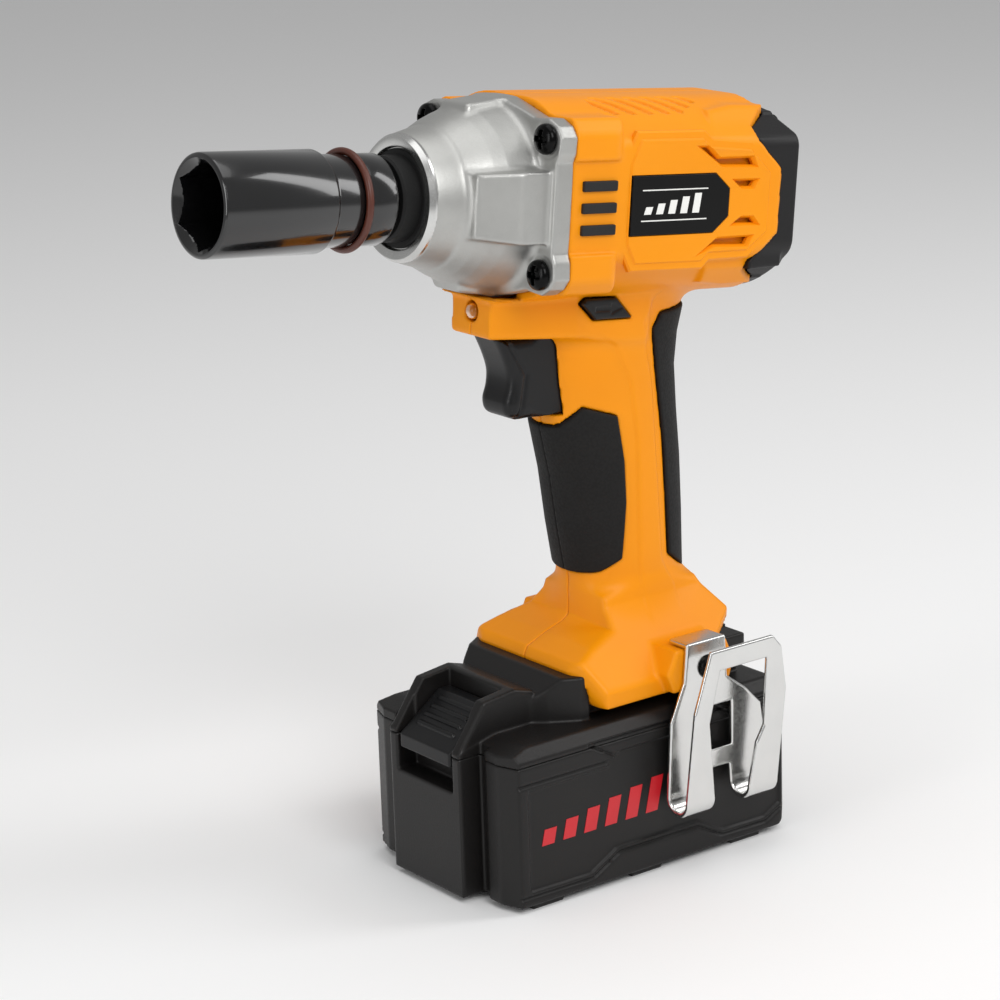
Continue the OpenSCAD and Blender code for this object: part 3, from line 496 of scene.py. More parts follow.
topRecess = [(11.8, 12.2), (12, 19.4), (9.5, 21.6), (-18.7, 21.8), (-27.6, 16.4), (-28.4, 12.2)]
selectorShape = [(11.4, -30.9), (9.8, -29.5), (-1.2, -29.5), (-7.6, -35.8), (6.2, -35.8)]


def housingSkin(x, y, z):
    # the outer surface: barrel, lugs, chin, handle and foot joined with rounded hollows
    hx, hz = barrelCoordinates(x, z)
    body = smoothMax(barrelSection(y, hz), span(hx, -60, 42), 0.5)
    ay = np.abs(y)
    # lugs behind the case screws, and lugs over the rear screws
    for sign in (1, -1):
        lug = smoothMax(smoothMax(ay - 34.5, span(hz * sign, 13.4, 25.6), 1.0),
                        0.80 * ay + 0.60 * hz * sign - 40.4, 1.0)
        lug = smoothMax(smoothMax(lug, 20 - ay, 1), smoothMax(-0.5 * (hx - 12.2) + 0.866 * (ay - 33.2),
                span(hx, 12, 40), 1.5), 1.0)
        body = smoothMin(body, lug, 0.8)
    for sign in (1, -1):
        ramp = outline([(-60, 12), (-60, 27.2), (-37, 27.6), (-27, 26.2), (-24, 20), (-24, 12)], hx,
                       sign * hz + 0.5 * (1 - sign))
        rear = smoothMax(smoothMax(ramp, span(ay, 10, 30.2), 1.2), 0.72 * ay + 0.69 * sign * hz - 35.4,
                         1.0)
        body = smoothMin(body, rear, 0.8)
    # a shallow recess in each slanted facet, with slanted louvres left standing in it
    slant = barrel["facet"][0] * ay + barrel["facet"][1] * hz - barrel["facet"][2]
    recess = smoothMax(outline(topRecess, hx, ay), -1.5 - slant, 0.3)
    bars = np.abs(np.mod(hx + 0.9 * ay, 6.4) - 3.2) - 1.7
    body = smoothMax(body, -smoothMax(recess, -bars, 0.4), 0.4)
    grip = handleForm(x, y, z)
    band = outline(bandZone, x, z)
    zone = np.minimum(outline(frontGripZone, x, z), outline(rearGripZone, x, z))
    grip = grip + 0.6 * np.clip(0.5 + band / 0.9, 0, 1)
    grip = np.maximum(grip, np.minimum(-zone, grip + 2.0))
    foot = footForm(x, y, z)
    base = smoothMin(smoothMax(grip, z - 186, 2), foot, 7)
    boss = smoothMax(outline([(-10, 56), (-7.5, 62), (-11, 69.3), (-31, 69.3), (-34, 62), (-32, 56)], x,
                             z), ay - 37.7, 1.2)
    base = smoothMin(base, boss, 1.5)
    body = smoothMin(body, chinForm(hx, y, hz), 1.5)
    return smoothMin(body, base, 5)


def housingField(side):
    def field(x, y, z):
        # side is 1 for the left half; the right half is worked out in mirrored places
        hx, hz = barrelCoordinates(x, z)
        skin = housingSkin(x, y, z)
        shell = smoothMax(skin, -(skin + barrel["wall"]), 0.3)
        # vents cut right through the wall
        for shape in panel["vents"]:
            shell = smoothMax(shell, -smoothMax(outline(shape, hx, hz) - 0.1, 26 - y, 0.2), 0.3)
        # seat of the badge
        shell = smoothMax(shell,
                          -smoothMax(outline([(8.3, -9), (8.3, 9), (-23.4, 9), (-29.4, 4.5),
                                              (-29.4, -4.5), (-23.4, -9)], hx, hz), 32.2 - y, 0.2), 0.3)
        # the battery's space, the trigger's and the selector's openings, the lens bore and the screw holes
        space = np.minimum(block((x, -48.4, 40), (y, -26.9, 26.9), (z, 57.8, 65)),
                           block((x, -48.4, 40), (y, -23, 23), (z, 40, 65)))
        space = np.where(z > 61, np.maximum(space, skin + 2.0), space)
        shell = smoothMax(shell, -space, 0.4)
        shell = smoothMax(shell, -block((x, 2, 40), (y, -8.2, 8.2), (z, 140.8, 167.6), 1), 0.5)
        shell = smoothMax(shell, -(outline(selectorShape, hx, hz) - 0.4), 0.4)
        shell = smoothMax(shell, -smoothMax(np.sqrt(y ** 2 + (hz + 34.1) ** 2) - 3.2, 30 - hx, 0.2), 0.3)
        shell = smoothMax(shell,
                          -smoothMax(np.sqrt((y - caseScrew["out"]) ** 2
                                             + (np.abs(hz) - caseScrew["up"]) ** 2) - 2.1, 14 - hx, 0.2),
                                             0.3)
        shell = smoothMax(shell, -smoothMax(np.sqrt((x - hookScrew["x"]) ** 2 + (z - hookScrew["z"]) ** 2)
                                            - 2.9, 29 - y, 0.2), 0.3)
        if side < 0:
            for sx, sz, inBarrel in bodyScrews:
                u, v = (hx - sx, hz - sz) if inBarrel else (x - sx, z - sz)
                boss = smoothMax(smoothMax(np.sqrt(u * u + v * v) - 3.6, 1 - y, 0.2), skin, 0.3)
                shell = smoothMin(shell, boss, 0.4)
                shell = smoothMax(shell, -smoothMax(np.sqrt(u * u + v * v) - 2.9, 7 - y, 0.2), 0.3)
        # the open ends: cap seam at the back and flange seat at the front, above the chin
        front = smoothMax(hx - barrel["front"], -29.3 - hz, 0.2)
        shell = smoothMax(shell, np.minimum(hx - barrel["front"], np.maximum(hx - 41, hz + 29.3)), 0.25)
        shell = smoothMax(shell, seamOf(hz, y) - hx, 0.3)
        return smoothMax(shell, barrel["gap"] - y, 0.35)
    return field


def seamOf(hz, y):
    # the cap wraps forward over the barrel's rear corners
    corner = np.clip((np.abs(hz + 0.3) - 9.6) / 8.6, 0, 1)
    outer = np.clip((np.abs(y) - 22) / 6, 0, 1)
    return barrel["seam"] + 9.5 * corner * outer


bodyScrews = [(-17.5, 104, False), (-16.5, 133, False), (-42, 69.2, False), (5, 68.9, False),
              (22, -36.2, True), (-46.2, 25, True), (-46.2, -25.4, True)]
housingStep = 0.68
for side, name in ((1, "housing_left"), (-1, "housing_right")):
    points, quads = fieldMesh(housingField(side), (-66, -1, 52), (44, 39.5, 240), housingStep * gridScale)
    if side < 0:
        points = points * (1, -1, 1)
        quads = quads[:, ::-1].copy()
    makePiece("shell_" + name[8:], points, quads, "orangeAbs", "tool", (name,), smooth=0)
    print(name, len(quads) * 2, "triangles")


def gripField(zone):
    # a thin skin over the handle, kept to one zone of its side
    def field(x, y, z):
        skin = handleForm(x, y, z)
        edge = outline(zone, x, z) + 0.25
        shell = smoothMax(skin - 0.35, -(skin + 1.9), 0.3)
        return smoothMax(smoothMax(shell, edge, 1.0), 0.08 - y, 0.3)
    return field


for name, zone, low, high in (("front_grip", frontGripZone, (-14, -1, 84), (16, 18, 147)),
                              ("rear_grip", rearGripZone, (-52, -1, 80), (-18, 18, 172))):
    points, quads = fieldMesh(gripField(zone), low, high, 0.5 * gridScale)
    for side, word in ((1, "left"), (-1, "right")):
        flip = quads if side > 0 else quads[:, ::-1].copy()
        makePiece(name + "_pad_" + word, points * (1, side, 1), flip, "gripRubber", "tool",
                  (name + "_" + word,), smooth=0)
print("housing and grips made")


# side panels: a raised octagon with a stepped border, a badge and rubber bars
def mirrorSide(mesh, side):
    # a left mesh turned into a right one for a side of -1
    points, faces = mesh
    if side > 0:
        return points, faces
    return points * (1, -1, 1), [tuple(f[::-1]) for f in faces]


def signedArea(points):
    # twice the area of a closed outline, positive when its points run anticlockwise
    following = np.roll(points, -1, 0)
    return np.sum(points[:, 0] * following[:, 1] - following[:, 0] * points[:, 1])


def offsetOutline(points, d):
    # every edge of a closed outline moved inwards by d, and the corners found again where the edges meet
    p = np.array(points, float)
    edge = np.roll(p, -1, 0) - p
    edge /= np.linalg.norm(edge, axis=1)[:, None]
    inward = np.stack([-edge[:, 1], edge[:, 0]], -1) * (1 if signedArea(p) > 0 else -1)
    before, after = np.roll(inward, 1, 0), inward
    return p + d * (before + after) / (1 + np.sum(before * after, 1))[:, None]


def cutAway(piece, meshes):
    # takes closed shapes out of a piece and leaves nothing of them in the scene
    for points, faces in meshes:
        mesh = bpy.data.meshes.new("cutter")
        mesh.from_pydata((toBase(points) / 1000).tolist(), [], faces)
        cutter = bpy.data.objects.new("cutter", mesh)
        bpy.context.scene.collection.objects.link(cutter)
        cut = piece.modifiers.new("cut", "BOOLEAN")
        cut.operation, cut.solver, cut.object = "DIFFERENCE", "EXACT", cutter
        bpy.context.view_layer.update()
        result = bpy.data.meshes.new_from_object(piece.evaluated_get(bpy.context.evaluated_depsgraph_get()))
        piece.modifiers.clear()
        piece.data = result
        bpy.data.objects.remove(cutter)
    piece.data.set_sharp_from_angle(angle=math.radians(20))


def terraceMesh(outlines, heights):
    # outlines of the same number of points stacked sideways, joined by borders and closed at both ends
    n = len(outlines[0])
    points = np.concatenate([np.stack([o[:, 0], np.full(n, h), o[:, 1]], -1)
                             for o, h in zip(outlines, heights)])
    order = list(range(n)) if signedArea(outlines[0]) > 0 else list(range(n))[::-1]
    faces = [tuple(order)]
    for k in range(len(outlines) - 1):
        faces += [(order[i - 1] + k * n, order[i - 1] + (k + 1) * n, order[i] + (k + 1) * n,
                   order[i] + k * n) for i in range(n)]
    faces.append(tuple(i + (len(outlines) - 1) * n for i in order[::-1]))
    return points, faces


for side, word in ((1, "left"), (-1, "right")):
    outer = np.array(panel["outer"])
    face = panel["face"]
    steps = [(0, 31), (0, 32.4), (0.55, 32.95), (2.3, 32.95), (2.85, face), (2.9, face)]
    plate = mirrorSide(terraceMesh([offsetOutline(outer, d) for d, _ in steps], [h for _, h in steps]),
                       side)
    plate = makePiece("side_panel_" + word, toBase(plate[0]), plate[1], "orangeAbs", "tool",
                      smooth=20)
    cutters = []
    for shape in panel["vents"]:
        shape = np.array(shape)
        cutters.append(terraceMesh([offsetOutline(shape, d) for d in (0.75, 0.75, -0.15, -0.15)],
                                   [29, 32.2, 33.7, 36]))
    cutters.append(plateMesh(offsetOutline(np.array(panel["badge"]), -0.25), 32.5, 36))
    cutAway(plate, [mirrorSide(c, side) for c in cutters])
    softenEdges(plate, 0.18)
    baffle = mirrorSide(plateMesh([(-14, 18), (-42, 16), (-42, -16), (-14, -17)], 29.2, 29.9), side)
    makePiece("vent_baffle_" + word, toBase(baffle[0]), baffle[1], "orangeAbs", "tool")
    badge = mirrorSide(plateMesh(panel["badge"], 32.25, panel["badgeOut"]), side)
    softenEdges(makePiece("badge_plate_" + word, toBase(badge[0]), badge[1], "badgePlate", "tool",
                          ("badge_" + word,)), 0.25)
    bars = [mirrorSide(plateMesh([(14.0, c - 1.5), (26.4, c - 1.5), (26.4, c + 1.5), (14.0, c + 1.5)],
                                 31.4, panel["barTop"]), side) for c in (-6.5, -0.15, 6.2)]
    bars = mergeMeshes(bars)
    softenEdges(makePiece("grip_bars_" + word, toBase(bars[0]), bars[1], "trimRubber", "tool",
                          ("side_ribs_" + word,)), 0.45, segments=3)
    # generic graphic: two thin lines and five slanted bars that rise towards the back
    graphic = []
    for x0, x1, z0, z1 in ((-20.5, 4.5, 4.3, 4.65), (-20.5, 4.5, -4.65, -4.3)):
        graphic.append(plateMesh([(x0, z0), (x1, z0), (x1, z1), (x0, z1)], 33.7, 33.81))
    for i in range(5):
        x0 = 3.6 - 4.6 * i
        h = 1.1 + 0.45 * i
        graphic.append(plateMesh([(x0, -2.6), (x0 - 2.6, -2.6), (x0 - 3.4, -2.6 + 2 * h),
                                  (x0 - 0.8, -2.6 + 2 * h)], 33.7, 33.83))
    marks = [mirrorSide(m, side) for m in graphic]
    marks = mergeMeshes(marks)
    makePiece("badge_marks_" + word, toBase(marks[0]), marks[1], "badgeWhite", "tool")
print("side panels made")


# hammer case, nose ring and seal
caseProfile = [(20, 0), (20, 28.2), (33, 28.3), (37, 27.8), (41, 27.1), (46, 26.2), (50.3, 24.9),
               (54, 23.4), (57.6, 21.5), (58.4, 20.9), (59.2, 20.6), (62, 19.9), (64.6, 19.2),
               (66.6, 18.6), (66.6, 0)]
flangeShape = [(5.2, 29), (14.4, 26.8), (21.2, 24.9), (28.1, 25.2), (32.4, 23.4), (34.6, 20.4),
               (34.4, 15.5), (33.2, 13), (33.4, 8), (33.4, -8), (33.2, -13), (34.4, -15.5), (34.6, -20.4),
               (32.4, -23.4), (28.8, -25.5), (21.2, -24.9), (14.4, -26.8), (5.2, -29), (-1, -29), (-1, 29)]


def caseField(hx, y, hz):
    # a turned dome joined with a flange, side pads and ribs, less its pockets and hollow
    ay = np.abs(y)
    radius = np.sqrt(y * y + hz * hz)
    dome = outline(caseProfile, hx, radius)
    flange = smoothMax(outline(flangeShape, ay, hz), span(hx, 30.02, 36.35), 1.0)
    body = smoothMin(dome, flange, 2.5)
    # side pad with a sloping front, blended into the dome
    pad = smoothMax(span(hx, 34, 57), np.abs(hz) - 10.4 + 0.1 * np.clip(hx - 44, 0, 14), 1.0)
    pad = smoothMax(smoothMax(pad, ay - 31.2, 0.8), 0.57 * (hx - 46) + 0.82 * (ay - 31.2), 0.8)
    body = smoothMin(body, smoothMax(pad, 18 - ay, 1), 1.6)
    ribs = smoothMax(smoothMax(span(hx, 34, 49), ay - 6.5, 1.5),
                     span(np.abs(hz), 20, 28.6 - 0.12 * np.clip(hx - 38, 0, 20)), 1.5)
    body = smoothMin(body, ribs, 2.0)
    # nothing rises above the CAD model's top
    top = cadBounds[1][2] * 1000 - pivot[2] - 0.08
    body = np.maximum(body, hx * barrelAxis[2] + hz * barrelUp[2] - top)
    # pockets for the screw heads, bores, and the hollow inside
    away = np.sqrt((ay - caseScrew["out"]) ** 2 + (np.abs(hz) - caseScrew["up"]) ** 2)
    body = smoothMax(body, -smoothMax(away - 5.5, 36.35 - hx, 0.3), 0.8)
    body = smoothMax(body, 2.15 - away, 0.3)
    inner = outline([(10, -1), (10, 25.2), (36, 25.2), (46, 24), (53, 20.5), (53, 11.5), (68, 11.5),
                     (68, -1)], hx, radius)
    return smoothMax(body, -inner, 0.5)


fieldPiece("cast_case", caseField, (28, -36.5, -31), (68.5, 36.5, 31), 0.55, "castAluminium", "tool",
           ("hammer_case",), toBase)
ring = turnedRing([(65.6, 12.8), (65.6, 18.3), (65.9, 18.55), (67.3, 18.55), (68.7, 17.5), (68.7, 15.6),
                   (68.3, 15.0), (66.9, 14.6), (66.9, 12.8)])
makePiece("nose_ring", toBase(ring[0]), ring[1], "turnedAluminium", "tool")
seal = turnedRing([(65.7, 8.5), (65.7, 14.3), (67.6, 14.3), (67.9, 13.9), (67.9, 12.6), (73.2, 12.4),
                   (73.8, 11.8), (73.8, 8.5)])
makePiece("nose_gaiter", toBase(seal[0]), seal[1], "darkRubber", "tool", ("nose_seal",))
print("impact end made")


# socket with a hexagon bore and its ring
socket = dict(ring=86.5, front=134.28, radius=14.75, neck=13.2, flats=22.0, depth=24.0)


def hexBore(sides=192):
    # radius of a hexagon opening out into the mouth's cone: the larger of the two at each turn
    turn = np.arange(sides) * 2 * math.pi / sides
    hexagon = socket["flats"] / 2 / np.cos(np.mod(turn + math.pi / 6, math.pi / 3) - math.pi / 6)
    depths = np.array([0, 0.25, 0.5, 0.8, 1.1, 1.4, 1.8, 2.3, 6, 12, 18, socket["depth"]])
    rings = [np.maximum(hexagon, socket["radius"] - 1.5 - 1.1 * d) for d in depths]
    return turn, depths, rings


def socketMesh():
    # rings of the outside, the mouth, the hexagon and the round bottom joined in order
    turn, depths, rings = hexBore()
    sides = len(turn)
    r, n = socket["radius"], socket["neck"]
    outside = [(94, 9.2), (76, 9.2), (75.8, 9.5), (75.8, n - 0.9), (76.1, n - 0.3), (76.8, n), (84.9, n),
               (85.3, n - 0.15), (85.6, 12.7), (87.4, 12.7), (87.7, n - 0.15), (88.1, n), (95.6, n),
               (96.1, n + 0.12), (97.1, r - 0.25), (97.7, r), (133.2, r), (133.8, r - 0.15),
               (134.15, r - 0.5), (134.3, r - 0.95)]
    circles = [np.full(sides, q[1]) for q in outside] + rings
    places = [q[0] for q in outside] + [socket["front"] - d for d in depths]
    circles += [np.full(sides, 10.6), np.full(sides, 10.6)]
    places += [socket["front"] - socket["depth"] - 0.02, 97.2]
    points = np.concatenate([np.stack([np.full(sides, x), c * np.cos(turn), c * np.sin(turn)], -1)
                             for x, c in zip(places, circles)])
    i, j = np.meshgrid(np.arange(len(places) - 1), np.arange(sides), indexing="ij")
    k = (j + 1) % sides
    quads = np.stack([i * sides + j, (i + 1) * sides + j, (i + 1) * sides + k, i * sides + k],
                     -1).reshape(-1, 4)
    faces = [tuple(q) for q in quads.tolist()]
    faces.append(tuple(range(sides)))
    faces.append(tuple((len(places) - 1) * sides + s for s in range(sides))[::-1])
    return points, faces


mesh = socketMesh()
makePiece("deep_socket", toBase(mesh[0]), mesh[1], "blackOxide", "anvil", ("socket",),
          smooth=28)
turn = np.arange(20) * 2 * math.pi / 20
ring = turnedRing([(socket["ring"] + 1.1 * c, 13.9 + 1.1 * s)
                   for c, s in zip(np.cos(turn), np.sin(turn))], 128)
makePiece("retaining_ring", toBase(ring[0]), ring[1], "brownRubber", "anvil",
          ("socket_ring",))
print("socket made")


# screws with a domed head and a cross recess
def screwField(radius, height, shank, length):
    # a spherical dome on a cylinder, less a tapering cross, with a shank
    def field(x, y, z):
        r = np.sqrt(y * y + z * z)
        head = smoothMax(smoothMax(r - radius, -x, 0.3), np.sqrt((x + radius * 0.9) ** 2 + r * r)
                         - (height + radius * 0.9), 0.8)
        cross = np.minimum(smoothMax(np.abs(y) - 0.55, np.abs(z) - radius * 0.56, 0.3),
                           smoothMax(np.abs(z) - 0.55, np.abs(y) - radius * 0.56, 0.3))
        cross = smoothMax(cross - 0.22 * (x - height * 0.4), height * 0.35 - x, 0.2)
        return np.minimum(smoothMax(head, -cross, 0.25), smoothMax(r - shank, span(x, -length, 1), 0.3))
    return field


def alongBarrel(place, back=False):
    # sets a screw that points forward, or back, at a place in the barrel's frame
    flip = -1 if back else 1
    return lambda p: toBase(p * (flip, flip, 1) + place)


def screwSet(name, places, radius, height, shank, length, step, finish, replaced):
    # one screw's mesh repeated at each place
    points, quads = fieldMesh(screwField(radius, height, shank, length),
                              (-length - 1, -radius - 1, -radius - 1),
                              (height + 1, radius + 1, radius + 1), step * gridScale)
    allPoints = np.concatenate([place(points) for place in places])
    allQuads = np.concatenate([quads + i * len(points) for i in range(len(places))])
    return makePiece(name, allPoints, allQuads, finish, "tool", replaced, smooth=0)


corners = [(y, z) for y in (-1, 1) for z in (-1, 1)]
screwSet("flange_screws", [alongBarrel((36.37, caseScrew["out"] * y, caseScrew["up"] * z))
                           for y, z in corners], 4.5, 3.2, 2.0, 6, 0.22, "screwOxide",
                           ("case_screws",))
screwSet("cap_screws", [alongBarrel((-56.02, 19.5 * y, 21.5 * z), True) for y, z in corners], 2.7, 2.2,
         1.48, 5, 0.24, "screwOxide", ("rear_cap_screws",))
turnRight = lambda p: np.stack([p[:, 1], -p[:, 0], p[:, 2]], -1)
bodyPlaces = []
for sx, sz, inBarrel in bodyScrews:
    if inBarrel:
        bodyPlaces.append(lambda p, sx=sx, sz=sz: toBase(turnRight(p) + (sx, -7, sz)))
    else:
        bodyPlaces.append(lambda p, sx=sx, sz=sz: turnRight(p) + (sx, -7, sz))
screwSet("body_screws", bodyPlaces, 2.7, 2.2, 1.48, 6, 0.24, "screwOxide",
         ("housing_screws",))
turnLeft = lambda p: np.stack([-p[:, 1], p[:, 0], p[:, 2]], -1) + (hookScrew["x"], 39.52, hookScrew["z"])
screwSet("hook_screw", [turnLeft], 3.8, 2.5, 2.0, 7, 0.22, "screwOxide",
         ("belt_hook_screw",))
print("screws made")


# rear cap
def capField(hx, y, hz):
    # a collar of the barrel's section joined with a chamfered back, less louvres, slots and hollow
    ay = np.abs(y)
    collar = smoothMax(barrelSection(y, hz, 0.7),
                       outline([(-30, 27), (-53.3, 26.4), (-57.3, 19.5), (-57.3, -21), (-54, -28.6),
                                (-30, -30)], hx, hz), 0.8)
    plan = outline([(-30, -1), (-30, 32.2), (-53.5, 31.0), (-66.2, 17.5), (-66.2, -1)], hx, ay)
    back = smoothMax(plan,
                     outline([(-40, 18.5), (-61.4, 17.6), (-62.6, 15.4), (-66.2, 9.4), (-66.2, -11.2),
                              (-63.2, -15.6), (-62.4, -20.2), (-40, -21)], hx, hz), 0.8)
    for sign in (1, -1):
        lug = block((hx, -54.4, -40), (ay, 12, 22.2), (sign * hz, 14, 25.4), 0.8)
        collar = smoothMin(collar, lug, 0.8)
    body = smoothMin(smoothMax(collar, -60 - hx, 0.4), back, 0.8)
    hollow = body + 2.5
    # louvres in the back, a tall slot in each chamfer and the screw holes
    louvre = smoothMax(smoothMax(np.abs(np.mod(hz + 13.8, 4.6) - 2.3) - 1.0, span(ay, 3, 17), 0.3),
                       np.maximum(hx + 62.5, np.abs(hz) - 11.6), 0.3)
    body = smoothMax(body, -louvre, 0.4)
    slot = smoothMax(np.abs(hz - 0.5) - 9.5, np.abs((ay - 24.5) * 0.72 + (hx + 61.4) * 0.69) - 1.5, 0.3)
    body = smoothMax(body, -smoothMax(slot, (hx + 57.5), 0.3), 0.4)
    hole = np.sqrt((ay - 19.5) ** 2 + (np.abs(hz) - 21.5) ** 2)
    body = smoothMax(body, -smoothMax(hole - 3.0, hx + 56, 0.2), 0.3)
    body = smoothMax(body, -smoothMax(hollow, hx - 60, 0.3), 0.3)
    return smoothMax(body, hx - seamOf(hz, y) + 0.15, 0.3)


fieldPiece("vented_cap", capField, (-67.5, -34, -32), (-38, 34, 29), 0.55, "blackNylon", "tool",
           ("rear_cap",), toBase)
print("rear cap made")


# trigger, selector, lens
def curveThrough(points, steps):
    # Catmull-Rom curve: between each two points a cubic with the slopes of their neighbours
    p = np.array([points[0]] + list(points) + [points[-1]], float)
    t = np.linspace(0, 1, steps, endpoint=False)[:, None]
    parts = [0.5 * (2 * b + (c - a) * t + (2 * a - 5 * b + 4 * c - d) * t ** 2 + (3 * b - a - 3 * c + d)
                    * t ** 3)
             for a, b, c, d in zip(p, p[1:], p[2:], p[3:])]
    return [tuple(q) for q in np.concatenate(parts + [p[-1:]])]


fingerCurve = [(29.2, 167.2), (26.6, 161.5), (24.9, 156), (25.2, 151.5), (26.6, 147.2), (25.8, 143.4),
               (22.4, 141.6)]
triggerSide = curveThrough(fingerCurve, 5) + [(15, 141.5), (7, 141.8), (6.5, 150), (6.5, 167.2)]


def triggerField(x, y, z):
    # the side outline carried sideways, with edges rounder towards the finger
    ay = np.abs(y)
    side = outline(triggerSide, x, z)
    body = smoothMax(side, ay - 7.9, 0.6 + 3.4 * np.clip((x - 12) / 6, 0, 1))
    # a groove round the rear edge, where the finger's pad meets the skirt
    line = outline([(40, 172), (27.2, 168), (20, 155.5), (21.5, 148), (23, 142), (22, 130), (40, 130)], x,
                   z)
    return body + 0.45 * np.exp(-(line / 0.7) ** 2) * (ay > 5)


fieldPiece("finger_trigger", triggerField, (7, -9.5, 138), (31, 9.5, 170), 0.4, "satinBlack", "trigger",
           ("trigger",))


def selectorField(hx, y, hz):
    # the side outline carried sideways, with a sunk arrow on each end
    ay = np.abs(y)
    bar = smoothMax(outline(selectorShape, hx, hz), ay - 18.3, 0.9)
    arrow = outline([(-3.6, -32.6), (0.7, -31.0), (0.7, -31.9), (6.7, -31.9), (6.7, -33.4), (0.7, -33.4),
                     (0.7, -34.4)], hx, hz)
    return bar + 0.35 * np.clip(0.5 - arrow / 0.3, 0, 1) * (ay > 16)


fieldPiece("rotation_selector", selectorField, (-9, -19.3, -37), (13, 19.3, -28.5), 0.34, "satinBlack",
           "selector", ("direction_selector",), toBase)
lens = turnedMesh([(31.5, 0), (31.5, 2.5), (38.2, 2.5), (38.9, 2.35), (39.6, 1.9), (40.05, 1.1),
                   (40.2, 0)], 48)
makePiece("lamp_lens", toBase(lens[0] + (0, 0, -34.1)), lens[1], "amberLens", "tool",
          ("led_lens",))
print("controls made")


# belt hook of stamped strap
hook = dict(inner=37.9, thick=1.6, gap=7.2, bend=24.0)
hookBack = [(-13.7, 71.2), (-12.4, 59), (-6.9, 47.4), (-5.5, 24), (-16.5, 24), (-17.5, 29.3), (-30, 29.3),
            (-30.4, 24), (-42, 24), (-44.1, 38.3), (-43, 46.3), (-37, 52.5), (-29.5, 58), (-29, 71.2)]
hookFront = [(-5.5, 24), (-9.2, 52), (-15.9, 70.5), (-40.6, 70.5), (-44, 66.5), (-45.8, 52.7), (-42, 24),
             (-30.4, 24), (-33.6, 37.6), (-36.7, 42.5), (-38.2, 64), (-19.3, 64), (-14.9, 48), (-16.5, 24)]


def hookField(x, y, z):
    # two flat straps joined by bends of a ring's section, less the window and the screw hole
    y0, t = hook["inner"], hook["thick"]
    y1, y2 = y0 + t, y0 + t + hook["gap"]
    back = smoothMax(outline(hookBack, x, z), span(y, y0, y1), 0.7)
    front = smoothMax(outline(hookFront, x, z), span(y, y2, y2 + t), 0.7)
    # two U bends join the plates below
    legs = np.minimum(span(x, -16.5, -5.5), span(x, -42, -30.4))
    middle = (y1 + y2) / 2
    turn = np.sqrt((y - middle) ** 2 + (z - hook["bend"]) ** 2)
    u = smoothMax(smoothMax(span(turn, hook["gap"] / 2, hook["gap"] / 2 + t), legs, 0.7),
                  z - hook["bend"] - 0.2, 0.05)
    lip = block((x, -29, -13.7), (y, 30.6, y1), (z, 69.6, 71.2), 0.7)
    window = smoothMax(outline([(-18, 49.6), (-31, 49.6), (-31, 35.4), (-18, 35.4)], x, z),
                       span(y, y0 - 1, y1 + 1), 0.3)
    hole = smoothMax(np.sqrt((x - hookScrew["x"]) ** 2 + (z - hookScrew["z"]) ** 2) - 2.15,
                     span(y, y0 - 1, y1 + 1), 0.2)
    d = np.minimum(np.minimum(back, front), np.minimum(u, lip))
    return smoothMax(smoothMax(d, -window, 0.4), -hole, 0.3)


fieldPiece("strap_hook", hookField, (-47.5, 29.5, 17.5), (-3.5, 50, 72.5), 0.42, "nickelPlate", "tool",
           ("belt_hook",))
print("belt hook made")


# battery
cell = dict(half=36.2, deck=51.0, split=46.0, panel=35.3)
planShape = [(57.15, -1), (57.15, 17.6), (49, 17.6), (49, 22.5), (51.35, 22.5), (51.35, 29.1),
             (48.95, 36.2), (-54.15, 36.2), (-57.15, 33.2), (-57.15, -1)]
sideLine = [(60, 4.8), (40.8, 4.8), (21.8, 4.6), (11.4, 10.3), (-19.4, 10.1), (-29.4, 4.8), (-47.6, 4.5),
            (-53.2, 7.4), (-60, 7.4), (-60, 43.5), (-34, 43.5), (-28, 46.9), (22.2, 46.9), (10, 40.1),
            (60, 40.1)]
sidePanel = [(45.5, 6.4), (22.4, 6.2), (12, 11.9), (-19.8, 11.9), (-30, 6.4), (-47, 6.1), (-53.4, 9.4),
             (-53.4, 42.5), (10.5, 42.5), (15.5, 38.4), (45.5, 38.4)]


def rearChamfer(x, z):
    # distance to the plane that cuts the lower rear edge away
    return -0.695 * (x + 57.15) - 0.719 * (z - 5.6)


def batteryBlock(x, y, z):
    # the plan carried upwards, less the chamfer, the space between the feet and the sunk side panels
    ay = np.abs(y)
    plan = outline(planShape, x, ay)
    body = smoothMax(plan, -z, 0.5)
    body = smoothMax(body, rearChamfer(x, z), 1.0)
    body = smoothMax(body, 0.9 - z - 20 * np.clip(-batteryFeet(x, ay), -0.05, 0.3), 0.2)
    # side panels sunk below a stepped frame line
    sunk = smoothMax(outline(sidePanel, x, z), cell["panel"] - ay, 0.2)
    body = smoothMax(body, -sunk, 0.3)
    frameLine = smoothMax(np.abs(outline(sideLine, x, z)) - 0.45, cell["half"] - 0.8 - ay, 0.2)
    return smoothMax(body, -frameLine, 0.25)


def batteryFeet(x, ay):
    # three feet along each side
    d = 99.0
    for c in (-40, 0, 38):
        d = np.minimum(d, np.maximum(np.abs(x - c) - 6, np.abs(ay - 29.5) - 5.2))
    return d


def latchSpace(x, y, z):
    # room for the latch in both shells
    ay = np.abs(y)
    return np.minimum(block((x, 50, 70), (ay, -1, 14), (z, 34.6, 60), 0.6),
                      block((x, 37, 70), (ay, -1, 13.3), (z, 47.2, 80), 0.5))


